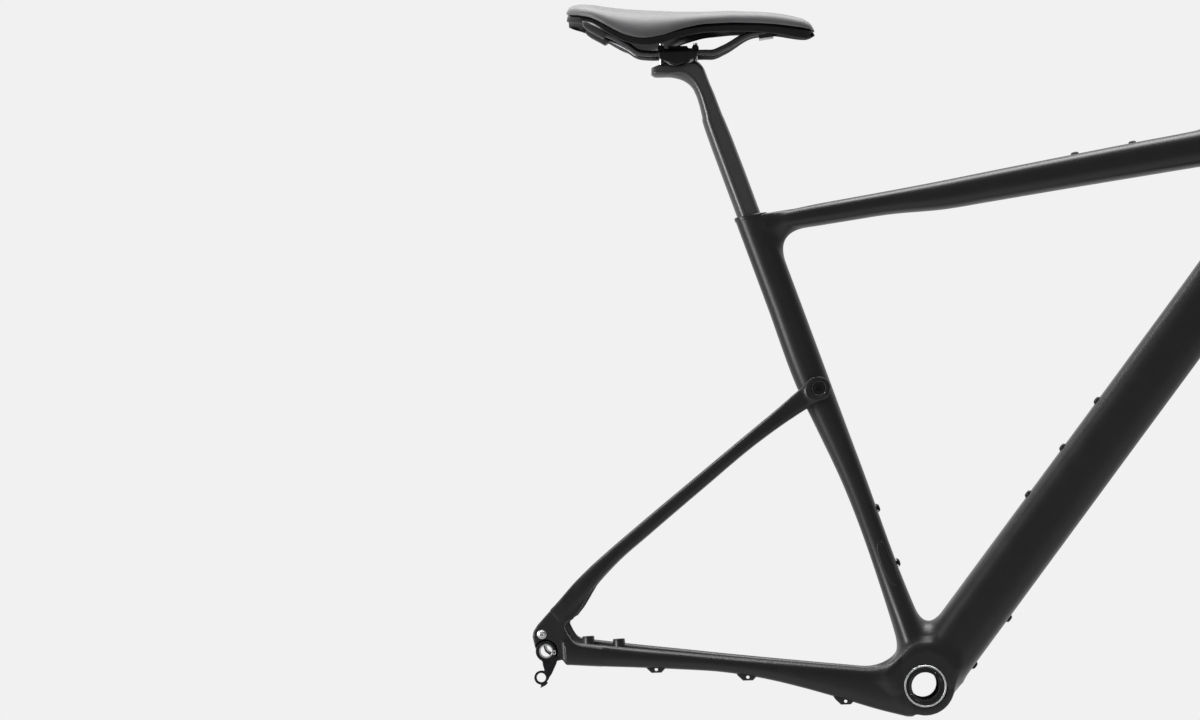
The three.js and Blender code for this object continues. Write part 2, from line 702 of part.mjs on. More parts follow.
function clampCradle() {
  const drum = pivotDrum(CLAMP_PIVOT_R, 28).intersect(
    clampPlate([[-15, -30], [15, -30], [15, -1], [-15, -1]], -28, 28),
  );
  const low = -RAIL_R - 1.3;
  const inner = RAIL_HALF_GAUGE + RAIL_R + RAIL_CLEARANCE;
  const outer = inner + 3;
  const shelf = clampPlate([[-15.5, low], [15.5, low], [15.5, -1], [-15.5, -1]], 1 - outer, outer - 1);
  const flap = [[-20, 1.5], [20, 1.5], [18, -5], [3, -13], [-3, -13], [-18, -5]];
  const flaps = clampPlate(flap, inner, outer).add(clampPlate(flap, -outer, -inner));
  const room = box([60, 28.6, 40], clampPoint(0, 0, -23), rad(CLAMP_TILT)).subtract(
    pivotDrum(CLAMP_PIVOT_R + 0.01, 40),
  );
  const rails = [-1, 1].map((side) => clampLine(RAIL_R + RAIL_CLEARANCE, side * RAIL_HALF_GAUGE, 0, 40, 16));
  return drum.add(shelf).add(flaps).subtract(allOf(rails)).subtract(room);
}

function clampBridge() {
  const arch = [[-23.5, 1], [-23.5, 2.4], [-13, 3.4], [-8, 8.6], [8, 8.6], [13, 3.4], [23.5, 2.4], [23.5, 1]];
  const ears = [[-13, 1], [-11, RAIL_R + 2.5], [11, RAIL_R + 2.5], [13, 1]];
  const reach = RAIL_HALF_GAUGE + RAIL_R + 0.1;
  const rails = [-1, 1].map((side) => clampLine(RAIL_R + RAIL_CLEARANCE, side * RAIL_HALF_GAUGE, 0, 40, 16));
  const holes = [-1, 1].map((side) => clampUpright(3, side * CLAMP_BOLT_SPREAD, -10, 20, 16));
  return clampPlate(arch, -10, 10).add(clampPlate(ears, -reach, reach)).subtract(allOf([...rails, ...holes]));
}

const clampBolt = (side) =>
  clampUpright(2.5, side * CLAMP_BOLT_SPREAD, -20, 13, 16).add(
    clampUpright(4.2, side * CLAMP_BOLT_SPREAD, -20, -17, 16),
  );

function barrelNut(side) {
  const along = side * CLAMP_BOLT_SPREAD;
  const barrel = rod(3.8, clampPoint(along, -8, 7), clampPoint(along, 8, 7), 20);
  return barrel.subtract(clampUpright(2.5 + GAP, along, -5, 20, 16));
}

const wedge = () => wedgeBlock(WEDGE_LOW, WEDGE_LOW + 15, 0);
const wedgeBolt = () =>
  rod(1.7, seatPoint(WEDGE_LOW + 15 + GAP, 15.4), seatPoint(SEAT_TUBE_TOP - 3, 15.4), 16);

// ---- Saddle ----

const SADDLE_TAIL = -346;
const SADDLE_NOSE = -74;

// Half width, crown height and how far the flank drops, at a fraction along from tail to nose
const SADDLE_PLAN = [
  V(41, 773.5, 12),
  V(67, 772, 23),
  V(71, 766, 29),
  V(64, 761.5, 32),
  V(46, 758.5, 29),
  V(31, 757, 25),
  V(23, 755, 23),
  V(19.5, 750, 23),
  V(16, 739.5, 18),
];
const saddlePlan = new THREE.CatmullRomCurve3(SADDLE_PLAN);

// One point of a saddle layer that lies a given depth below the cover's outside
function saddlePoint(u, v, below) {
  const { x: half, y: crown, z: drop } = saddlePlan.getPoint(u);
  const x = THREE.MathUtils.lerp(SADDLE_TAIL + below, SADDLE_NOSE - below, u);
  const a = (v * Math.PI) / 2;
  const y = (half - below * 0.5) * Math.sin(a);
  const z = crown - below - (drop - below * 0.2) * (1 - Math.cos(a)) ** 1.25;
  return V(x, y, z);
}

// A curved sheet between two depths
function saddleLayer(top, bottom, nu = 14, nv = 10) {
  const rings = [];
  for (let i = 0; i <= nu; i++) {
    const one = [];
    for (let j = 0; j <= nv; j++) one.push(saddlePoint(i / nu, (2 * j) / nv - 1, top));
    for (let j = nv; j >= 0; j--) {
      const p = saddlePoint(i / nu, (2 * j) / nv - 1, bottom);
      if (j === 0 || j === nv) p.z = Math.min(p.z, one[j].z - 1.2);
      one.push(p);
    }
    rings.push(one);
  }
  return skin(rings);
}

function rail(side, grow = 0, steps = 26) {
  const points = [
    clampPoint(-104, side * 37, 24.5),
    clampPoint(-80, side * 34, 20),
    clampPoint(-58, side * 25, 4.5),
    ...[-46, -36, 0, 26, 36].map((along) => clampPoint(along, side * RAIL_HALF_GAUGE, 0)),
    clampPoint(48, side * 20, 3.6),
    clampPoint(88, side * 9.4, 32.1 - NOSE_DROP),
    clampPoint(101, side * 7.6, 33.9 - NOSE_DROP),
  ];
  const path = new THREE.CatmullRomCurve3(points, false, "centripetal");
  const rings = [];
  for (let i = 0; i <= steps; i++) {
    const at = path.getPoint(i / steps);
    const along = path.getTangent(i / steps);
    const across = Y_AXIS.clone().addScaledVector(along, -along.y).normalize();
    const up = along.clone().cross(across).normalize();
    const one = [];
    for (let j = 0; j < 8; j++) {
      const a = (2 * Math.PI * j) / 8;
      const out = across.clone().multiplyScalar(Math.cos(a)).addScaledVector(up, Math.sin(a));
      one.push(at.clone().addScaledVector(out, RAIL_R + grow));
    }
    rings.push(one);
  }
  return skin(rings);
}

// Sockets under the shell that take the rail ends
function tailSocket(side) {
  const from = clampPoint(-111, side * 38.4, 25.6);
  const to = clampPoint(-92, side * 35.4, 22);
  return rod(RAIL_R + 2.5, from, to, 16).subtract(rail(side, GAP));
}

function noseSocket() {
  const hole = RAIL_R + GAP;
  const block = box([16, 2 * (hole + 7.7), 2 * (hole + 1)], clampPoint(97, 0, 32.1 - NOSE_DROP), rad(CLAMP_TILT - 8));
  return block.subtract(rail(-1, GAP)).subtract(rail(1, GAP));
}

// ---- Headset ----

const headRing = (inner, outer, low, high) => ring(inner, outer, headAt(low), headAt(high), 28);

// ---- Bosses ----

function boss(at, out) {
  const base = at.clone();
  const hole = rod(BOSS_SHANK_R + GAP, base.clone().addScaledVector(out, -BOSS_DEPTH), base.clone().addScaledVector(out, 6), 12);
  const profile = [
    [0, -BOSS_DEPTH + 1],
    [BOSS_SHANK_R, -BOSS_DEPTH + 1],
    [BOSS_SHANK_R, 0.9],
    [BOSS_HEAD_R, 0.9],
    [BOSS_HEAD_R, 0.9 + BOSS_HEAD_H * 0.45],
    [BOSS_HEAD_R * 0.62, 0.9 + BOSS_HEAD_H],
    [0, 0.9 + BOSS_HEAD_H],
  ];
  return { hole, bolt: turned(profile, base, out, 12) };
}

const seatBosses = [136, 136 + BOSS_PITCH].map((p) => boss(seatPoint(p, 19.1), SEAT_FRONT));
const downBosses = [237, 237 + BOSS_PITCH, 237 + 2 * BOSS_PITCH].map((p) => boss(downPoint(p, 31.3), DOWN_UP));
const underBosses = [50, 50 + BOSS_PITCH].map((p) =>
  boss(downPoint(p, -31.3), DOWN_UP.clone().negate()),
);
const topBosses = [204, 204 + BOSS_PITCH].map((x) =>
  boss(V(x, 0, 572.4 + (x - 204) * Math.tan(rad(TOP_TUBE_RISE + 0.5))), TOP_UP),
);
const bridgeBoss = boss(V(BRIDGE_AT.x - 3, 0, BRIDGE_AT.z - 7.2), V(0, 0, -1));
const drill = (solid, bosses) => solid.subtract(allOf(bosses.map((b) => b.hole)));

// ---- Materials and assembly ----

const look = (color, roughness, metalness) =>
  new THREE.MeshStandardMaterial({ color, roughness, metalness });
const carbon = look(0x1d1e20, 0.42, 0.0);
const postCarbon = look(0x242528, 0.32, 0.0);
const alloy = look(0xb9bcc0, 0.35, 1.0);
const steel = look(0x9a9da1, 0.3, 1.0);
const blackAlloy = look(0x1b1b1d, 0.4, 0.8);
const railMetal = look(0x3a3b3e, 0.3, 1.0);
const sealRubber = look(0x141414, 0.7, 0.0);
const shellPlastic = look(0x151517, 0.35, 0.0);
const coverSkin = look(0x222224, 0.6, 0.0);

const bicycle = new THREE.Group();
function place(name, solid, material) {
  const mesh = new THREE.Mesh(toGeometry(solid), material);
  mesh.name = name;
  bicycle.add(mesh);
}

place("head_tube", headTube(), carbon);
place("top_tube", drill(topTube(), topBosses), carbon);
place("down_tube", drill(downTube(), [...downBosses, ...underBosses]), carbon);
place("seat_tube", drill(seatTube(), seatBosses), carbon);
place("bottom_bracket_shell", bottomBracketShell(), carbon);
place("bottom_bracket_sleeve", bottomBracketSleeve(), alloy);
place("cable_port_cover", plate(portOutline(0), -17.6, -14 - GAP), shellPlastic);

place("chainstay_right", chainstayRight(), carbon);
place("chainstay_left", chainstayLeft(), carbon);
place("seatstay_right", seatstay(), carbon);
place("seatstay_left", otherSide(seatstay()), carbon);
place("dropout_right", dropout(), carbon);
place("dropout_left", otherSide(dropout()), carbon);
place("seatstay_bridge", bridgeBar(), carbon);
place("fender_bolt", bridgeBoss.bolt, steel);
place("derailleur_hanger", hanger(), blackAlloy);
place("hanger_bolt", hangerBolt(), steel);
place("rack_bolt_right", rackBolt(), steel);
place("rack_bolt_left", otherSide(rackBolt()), steel);
place("kingpin_axle", kingpinAxle(), blackAlloy);
place("kingpin_bolt", kingpinBolt(), blackAlloy);
place("kingpin_bearing_right", earBearing(-1), steel);
place("kingpin_bearing_left", earBearing(1), steel);

for (const [word, side] of [["right", -1], ["left", 1]]) {
  place(`bb_bearing_outer_${word}`, bbBearing(18.2, BEARING_OUTER_R, side), steel);
  place(`bb_bearing_inner_${word}`, bbBearing(BEARING_INNER_R, 17.8, side), sealRubber);
}
place("headset_lower_outer", headRing(23.2, 26, 1.5, 8.5), steel);
place("headset_lower_inner", headRing(20, 22.8, 1, 8), sealRubber);
place("headset_upper_outer", headRing(18.4, 21, HEAD_LENGTH - 7.6, HEAD_LENGTH - 1), steel);
place("headset_upper_inner", headRing(14.4, 18, HEAD_LENGTH - 7, HEAD_LENGTH - 0.5), sealRubber);

place("seatpost", seatpost(), postCarbon);
place("binder_wedge", wedge(), blackAlloy);
place("binder_bolt", wedgeBolt(), steel);
place("clamp_cradle", clampCradle(), blackAlloy);
place("clamp_bridge", clampBridge(), blackAlloy);
for (const [word, side] of [["rear", -1], ["front", 1]]) {
  place(`clamp_bolt_${word}`, clampBolt(side), steel);
  place(`clamp_nut_${word}`, barrelNut(side), blackAlloy);
}

place("saddle_rail_right", rail(-1), railMetal);
place("saddle_rail_left", rail(1), railMetal);
place("saddle_socket_right", tailSocket(-1), shellPlastic);
place("saddle_socket_left", tailSocket(1), shellPlastic);
place("saddle_nose_socket", noseSocket(), shellPlastic);
place("saddle_shell", saddleLayer(7.7, 10.7), shellPlastic);
place("saddle_cover", saddleLayer(0, 7), coverSkin);

seatBosses.forEach((b, i) => place(`seat_tube_bolt_${i + 1}`, b.bolt, steel));
downBosses.forEach((b, i) => place(`down_tube_bolt_${i + 1}`, b.bolt, steel));
underBosses.forEach((b, i) => place(`under_tube_bolt_${i + 1}`, b.bolt, steel));
topBosses.forEach((b, i) => place(`top_tube_bolt_${i + 1}`, b.bolt, steel));

export default bicycle;
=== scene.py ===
import math
import bpy
import bmesh
import numpy as np
from mathutils import Matrix, Vector


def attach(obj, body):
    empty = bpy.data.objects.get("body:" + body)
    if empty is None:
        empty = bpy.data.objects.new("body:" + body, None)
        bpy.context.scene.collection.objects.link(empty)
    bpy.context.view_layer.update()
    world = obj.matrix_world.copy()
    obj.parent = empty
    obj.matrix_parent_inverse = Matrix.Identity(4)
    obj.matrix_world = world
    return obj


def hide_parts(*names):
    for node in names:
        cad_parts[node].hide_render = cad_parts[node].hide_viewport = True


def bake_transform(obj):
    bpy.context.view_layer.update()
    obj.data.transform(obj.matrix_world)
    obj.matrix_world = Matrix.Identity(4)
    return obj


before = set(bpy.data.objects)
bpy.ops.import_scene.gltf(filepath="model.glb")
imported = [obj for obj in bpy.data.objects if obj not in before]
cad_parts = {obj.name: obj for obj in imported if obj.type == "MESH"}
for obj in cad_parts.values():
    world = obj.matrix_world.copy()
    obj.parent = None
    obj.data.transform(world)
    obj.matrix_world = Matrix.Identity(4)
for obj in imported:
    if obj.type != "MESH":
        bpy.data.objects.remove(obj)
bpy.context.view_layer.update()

# ---- Studio ----
# The frame hangs by its bottom bracket over a pale floor, as high as its wheels would hold it.
# The room is pale behind it and dim behind the camera. A long soft box hangs overhead and a tall
# one stands to the left.
scene = bpy.context.scene
scene.view_settings.view_transform = "Standard"
eye = Vector((-0.18597, -4.6, 0.23520))
aim = Vector((-0.33393, 0.0, 0.37968))
lean = math.radians(3.6)
SENSOR = 36.0
FOCAL_WIDTHS = 4159.57 / 1200
ahead = (aim - eye).normalized()
to_right = ahead.cross(Vector((math.sin(lean), 0, math.cos(lean)))).normalized()
turn = Matrix((to_right, to_right.cross(ahead), -ahead)).transposed().to_4x4()
camera = bpy.data.objects.new("camera", bpy.data.cameras.new("camera"))
camera.matrix_world = Matrix.Translation(eye) @ turn
camera.data.sensor_width = SENSOR
camera.data.lens = SENSOR * FOCAL_WIDTHS
camera.data.clip_start, camera.data.clip_end = 0.05, 200
scene.collection.objects.link(camera)
scene.camera = camera

world = bpy.data.worlds.new("studio_air")
scene.world = world
world.use_nodes = True
air = world.node_tree
air.nodes["Background"].inputs["Strength"].default_value = 1.0
towards = air.nodes.new("ShaderNodeSeparateXYZ")
air.links.new(air.nodes.new("ShaderNodeTexCoord").outputs["Generated"], towards.inputs[0])
room = air.nodes.new("ShaderNodeValToRGB")
room.color_ramp.interpolation = "EASE"
for element, (place, level) in zip(room.color_ramp.elements, ((0.30, 0.30), (0.62, 0.8796))):
    element.position, element.color = place, (level, level, level, 1)
half_turn = air.nodes.new("ShaderNodeMapRange")
half_turn.inputs["From Min"].default_value, half_turn.inputs["From Max"].default_value = -1, 1
air.links.new(towards.outputs["Y"], half_turn.inputs["Value"])
air.links.new(half_turn.outputs["Result"], room.inputs["Fac"])
air.links.new(room.outputs["Color"], air.nodes["Background"].inputs["Color"])


def soft_box(name, at, towards, size, power):
    """A flat rectangular lamp at one point that faces another."""
    lamp = bpy.data.lights.new(name, "AREA")
    lamp.shape = "RECTANGLE"
    lamp.size, lamp.size_y = size
    lamp.energy = power
    holder = bpy.data.objects.new(name, lamp)
    holder.location = at
    holder.rotation_euler = (Vector(towards) - Vector(at)).to_track_quat("-Z", "Y").to_euler()
    scene.collection.objects.link(holder)


soft_box("overhead_box", (0.0, 0.4, 2.5), (0.0, 0.0, 0.3), (3.4, 1.3), 125)
soft_box("side_box", (-3.3, -2.1, 0.75), (-0.1, 0.0, 0.4), (1.3, 2.2), 150)

floor_mesh = bpy.data.meshes.new("studio_floor")
FLOOR_Z, FLOOR_HALF = -0.286, 3
corners = [(x * FLOOR_HALF, y * FLOOR_HALF, FLOOR_Z) for x, y in ((-1, -1), (1, -1), (1, 1), (-1, 1))]
floor_mesh.from_pydata(corners, [], [(0, 1, 2, 3)])
studio_floor = bpy.data.objects.new("studio_floor", floor_mesh)
scene.collection.objects.link(studio_floor)
floor_paint = bpy.data.materials.new("floor_paint")
floor_paint.use_nodes = True
for socket, value in (("Base Color", (0.5, 0.5, 0.5, 1)), ("Roughness", 1.0), ("Specular IOR Level", 0.0)):
    floor_paint.node_tree.nodes["Principled BSDF"].inputs[socket].default_value = value
floor_mesh.materials.append(floor_paint)

# ---- Body of the frame ----
# Head tube, top tube, down tube, seat tube and bottom bracket are laid up in carbon and cured as
# one hollow piece, so the tubes flow into each other. It is painted satin black.
MM = 0.001
PITCH = 2.0
SEAT = math.radians(73.3)
DOWN = math.radians(50.0)
HEAD = math.radians(71.5)
HEAD_LOW = (433.0, 450.0)
HEAD_LONG = 158.0
TOP_REAR, TOP_FRONT = -146, 408
DOWN_LOW, DOWN_HIGH = -4, 652
SHELL_R, SHELL_HALF, SLEEVE_R = 32.4, 36.6, 22.9
RIM_AT, RIM_SLOPE = (-171.4, 525.4), 0.128
POST_DEEP, POST_WIDE, POST_BACK, POST_SQUARE, POST_LOWEST = 13.0, 13.5, 0.6, 2.3, 364
SLOT_AT, SLOT_LONG, SLOT_R = (-95.3, 332.8), 5.6, 5.9
# Behind this the stays belong to the rear triangle, and they bend between here and x = -260
CUT_X = -66.0


class Value:
    """A number that changes over a surface. The signs + and * between values add Math nodes."""

    def __init__(self, finish, socket):
        self.finish, self.socket = finish, socket

    def sum_with(self, operation, first, second):
        made = self.finish.node("ShaderNodeMath", {"operation": operation}, {0: first, 1: second})
        return Value(self.finish, made.outputs[0])

    def __add__(self, other):
        return self.sum_with("ADD", self, other)

    def __mul__(self, other):
        return self.sum_with("MULTIPLY", self, other)

    __radd__ = __add__
    __rmul__ = __mul__


class Finish:
    """One surface finish: its shader, and the nodes that vary it."""

    def __init__(self, name, roughness, **plain):
        self.material = bpy.data.materials.new(name)
        self.material.use_nodes = True
        self.tree = self.material.node_tree
        self.shader = self.tree.nodes["Principled BSDF"]
        self.shader.inputs["Roughness"].default_value = roughness
        for socket, value in plain.items():
            self.shader.inputs[socket.replace("_", " ")].default_value = value
        self.where = self.node("ShaderNodeTexCoord").outputs["Object"]

    def node(self, kind, settings=None, sockets=None):
        made = self.tree.nodes.new(kind)
        for name, value in (settings or {}).items():
            if name == "stops":
                ramp = made.color_ramp
                while len(ramp.elements) < len(value):
                    ramp.elements.new(0.5)
                for element, (place, shade) in zip(ramp.elements, value):
                    element.position, element.color = place, (*shade, 1)
            else:
                setattr(made, name, value)
        for name, value in (sockets or {}).items():
            if isinstance(value, Value):
                value = value.socket
            if isinstance(value, bpy.types.NodeSocket):
                self.tree.links.new(value, made.inputs[name])
            else:
                made.inputs[name].default_value = value
        return made

    def cloudy(self, per_metre, detail=2.0, stretch=(1, 1, 1), rough=0.5, turned=(0, 0, 0)):
        """Noise from 0 to 1 with that many blotches in a metre, squeezed along each axis by stretch."""
        place = self.node("ShaderNodeMapping", None, {"Vector": self.where, "Scale": stretch, "Rotation": turned})
        made = self.node(
            "ShaderNodeTexNoise", None,
            {"Vector": place.outputs[0], "Scale": per_metre, "Detail": detail, "Roughness": rough},
        )
        return Value(self, made.outputs[0])

    def shades(self, amount, *colours):
        """Colour that runs through these shades as the amount goes from 0 to 1."""
        stops = [(i / (len(colours) - 1), c) for i, c in enumerate(colours)]
        made = self.node("ShaderNodeValToRGB", {"stops": stops}, {"Fac": amount})
        self.varies("Base Color", made.outputs["Color"])

    def varies(self, socket, value):
        self.tree.links.new(value.socket if isinstance(value, Value) else value, self.shader.inputs[socket])

    def raised(self, height, distance, strength=1.0):
        """Bump: the height, 0 to 1, stands that far proud, in metres."""
        made = self.node("ShaderNodeBump", None, {"Height": height, "Distance": distance, "Strength": strength})
        self.varies("Normal", made.outputs[0])


satin_paint = Finish("satin_paint", 0.36, Specular_IOR_Level=0.4)
satin_paint.shades(satin_paint.cloudy(26, 3), (0.0030, 0.0030, 0.0033), (0.0055, 0.0055, 0.0060))
satin_paint.varies("Roughness", 0.30 + 0.13 * satin_paint.cloudy(60, 4))
satin_paint.raised(satin_paint.cloudy(850, 2) * 0.5 + satin_paint.cloudy(120, 1) * 0.5, 0.000012, 0.5)


def eased(knots, values):
    """A smooth curve through values at the knots: each span is a cubic whose slopes come from the
    neighbouring stations. It comes back as a table that np.interp reads."""
    knots, values = np.asarray(knots, float), np.asarray(values, float)
    slope = np.gradient(values, knots)
    at = np.linspace(knots[0], knots[-1], 600)
    i = np.clip(np.searchsorted(knots, at) - 1, 0, len(knots) - 2)
    span = knots[i + 1] - knots[i]
    t = (at - knots[i]) / span
    made = (
        (2 * t**3 - 3 * t**2 + 1) * values[i]
        + (t**3 - 2 * t**2 + t) * span * slope[i]
        + (3 * t**2 - 2 * t**3) * values[i + 1]
        + (t**3 - t**2) * span * slope[i + 1]
    )
    return lambda where: np.interp(where, at, made)


def from_oval(across, up, wide, deep, square):
    """How far a point is outside a rounded outline. The outline is |across/wide|^n + |up/deep|^n = 1,
    and the distance is taken along the ray from its centre."""
    reach = np.sqrt(across**2 + up**2) + 1e-6
    share = (np.abs(across / wide) ** square + np.abs(up / deep) ** square) ** (1 / square)
    return reach * (1 - 1 / np.maximum(share, 1e-4))


def joined(a, b, fillet):
    """The union of two shapes with a hollow fillet where they meet."""
    share = np.clip(0.5 + 0.5 * (b - a) / fillet, 0, 1)
    return b + (a - b) * share - fillet * share * (1 - share)


def cut_by(a, b, edge):
    """What both shapes hold, with the edge between them rounded."""
    return -joined(-a, -b, edge)


# Each tube's stations: place along it, offset of its centre, half width, half depth and squareness
seat_table = [eased(*pair) for pair in zip([[20, 62, 105, 250, 300, 350, 450, 566]] * 4, [
    [5, 5.4, 5.6, 5.9, 3.6, 1.3, 1.4, 1.2],
    [34.5, 27, 18.6, 17, 18.5, 19.6, 19, 18.6],
    [20, 16, 13.7, 13.6, 15.8, 18.2, 18.2, 18.0],
    [2.6, 2.6, 2.5, 2.5, 2.5, 2.6, 2.6, 2.6],
])]
top_table = [eased(*pair) for pair in zip([[-150, -130, -100, -52, -8, 60, 102, 190, 279, 323, 400]] * 4, [
    [517.4, 519.6, 522.9, 528.0, 532.6, 537.9, 542.9, 553.3, 563.5, 568.4, 577.5],
    [12.5, 15.6, 17.2, 16.8, 17.2, 19, 19.6, 21, 22.4, 23, 24.6],
    [9.0, 10.4, 11.6, 12.3, 12.8, 15.9, 16.6, 17.8, 19.1, 19.6, 21.6],
    [2.4, 2.4, 2.5, 2.5, 2.5, 2.6, 2.6, 2.7, 2.7, 2.7, 2.7],
])]
down_table = [eased(*pair) for pair in zip([[-4, 90, 240, 430, 560, 650]] * 3, [
    [36.2, 32.5, 27, 27, 27, 27],
    [31.5, 31.5, 31.5, 31.5, 32, 34],
    [3.0, 3.0, 2.9, 2.9, 2.9, 2.8],
])]
head_table = eased([-5, 0, 14, 30, 45, 70, 100, 158, 165], [30, 30, 30, 28.6, 27, 26.1, 25.5, 25.5, 25.5])
STAY_AT = np.array([22, 50, 90, 134, 178, 222, 266, 311, 358, 385.0])
stay_table = [eased(STAY_AT, values) for values in (
    [26.5, 32.5, 37, 40, 43, 47, 52, 59, 68, 73],
    [-6, -1, 9, 20, 30, 38.2, 44.6, 50.6, 57, 61],
    [10, 9, 8.4, 8.2, 8.2, 8.2, 8, 8, 7, 5.5],
    [26, 22, 17.3, 13, 9.8, 8.5, 9.2, 10.2, 11.6, 12.0],
    [2.6, 2.6, 2.5, 2.4, 2.3, 2.3, 2.3, 2.3, 2.5, 2.8],
)]


def along_seat(x, z):
    """Distance up the seat tube's axis, and distance in front of it."""
    return -math.cos(SEAT) * x + math.sin(SEAT) * z, math.sin(SEAT) * x + math.cos(SEAT) * z


def seat_place(up, front):
    """X and Z of a place that far up the seat tube's axis and that far in front of it."""
    return np.array([-math.cos(SEAT) * up + math.sin(SEAT) * front, math.sin(SEAT) * up + math.cos(SEAT) * front])


def from_point(x, z, at):
    """Distance from a point in the side view."""
    return np.sqrt((x - at[0]) ** 2 + (z - at[1]) ** 2)


def stays(x, y, z):
    """Both chainstays: rounded outlines about a line that rises and spreads towards the axle."""
    back = -x
    centre_y, centre_z, wide, deep, square = (table(back) for table in stay_table)
    level = 1 / np.sqrt(1 + (np.interp(back, [22, 90, 222, 385], [0.18, 0.245, 0.165, 0.14])) ** 2)
    tube = from_oval(np.abs(y) - centre_y, (z - centre_z) * level, wide, deep, square)
    return np.maximum(tube, x + 16)


def post_hole(x, y, z, clear):
    """The post's outline, grown by a clearance, from the bottom of its travel upwards."""
    p, q = along_seat(x, z)
    outline = from_oval(y, q + POST_BACK, POST_WIDE + clear, POST_DEEP + clear, POST_SQUARE)
    return np.maximum(outline, POST_LOWEST - p)


def frame_body(x, y, z):
    """The tubes joined one after another with fillets, less the post's hole, the bores and the slot."""
    p, q = along_seat(x, z)
    offset, wide, deep, square = (table(p) for table in seat_table)
    seat = np.maximum(from_oval(y, q - offset, wide, deep, square), 4 - p)
    height, wide, deep, square = (table(x) for table in top_table)
    top = from_oval(y, (z - height) * 0.992, wide, deep, square)
    top = np.maximum(np.maximum(top, TOP_REAR - x), x - TOP_FRONT)
    side = np.clip(1 - (y / 17.0) ** 2, 0, 1) * np.clip(q / 12, 0, 1)
    body = joined(seat, top, 3 + np.clip(q / 12, 0, 1) * 9 + 25 * side)
    rim = (z - RIM_AT[1] - RIM_SLOPE * (x - RIM_AT[0])) * 0.992 - 0.06 * np.maximum(x + 110, 0)
    body = cut_by(body, rim, 2.2)
    t = math.cos(DOWN) * x + math.sin(DOWN) * z
    u = -math.sin(DOWN) * x + math.cos(DOWN) * z
    wide, deep, square = (table(t) for table in down_table)
    down = np.maximum(np.maximum(from_oval(y, u, wide, deep, square), DOWN_LOW - t), t - DOWN_HIGH)
    side = np.clip(1 - (y / 27.0) ** 2, 0, 1)
    body = joined(body, down, 18 + 10 * side)
    shell = cut_by(np.sqrt(x**2 + z**2) - SHELL_R, np.abs(y) - SHELL_HALF, 5.0)
    above = np.clip((z + 8) / 24, 0, 1)
    body = joined(body, shell, 3 + 21 * above)
    body = joined(body, stays(x, y, z), 8 + 26 * above)
    flush = np.abs(y) - SHELL_HALF - 0.45 * np.maximum(-24 - x, 0) - 2 * np.maximum(x - 120, 0)
    body = cut_by(body, flush, 4.0)
    up = -math.cos(HEAD) * (x - HEAD_LOW[0]) + math.sin(HEAD) * (z - HEAD_LOW[1])
    out = np.sqrt((math.sin(HEAD) * (x - HEAD_LOW[0]) + math.cos(HEAD) * (z - HEAD_LOW[1])) ** 2 + y**2)
    body = joined(body, out - head_table(up), 22)
    ends = np.maximum(-up, up - HEAD_LONG) - 2.0 * np.maximum(out - 33, 0)
    body = cut_by(body, ends, 1.6)
    bore = np.interp(up, [-2, 9, 12, 40, 134, 148, 150, 162], [26.2, 26.2, 23, 18, 18, 19, 21.2, 21.2])
    body = np.maximum(body, bore - out)
    body = np.maximum(body, SLEEVE_R - np.sqrt(x**2 + z**2))
    body = cut_by(body, -post_hole(x, y, z, 0.6), 0.8)
    along = np.clip(x - SLOT_AT[0], 0, SLOT_LONG)
    slot = np.sqrt((x - SLOT_AT[0] - along) ** 2 + (z - SLOT_AT[1]) ** 2) - SLOT_R
    return np.maximum(body, -slot)


def gradient_of(field, points):
    """How fast a field grows along X, Y and Z at each point, by central differences."""
    step = 0.04
    made = np.empty_like(points)
    for axis in range(3):
        shift = np.zeros(3)
        shift[axis] = step
        made[:, axis] = (field(*(points + shift).T) - field(*(points - shift).T)) / (2 * step)
    return made


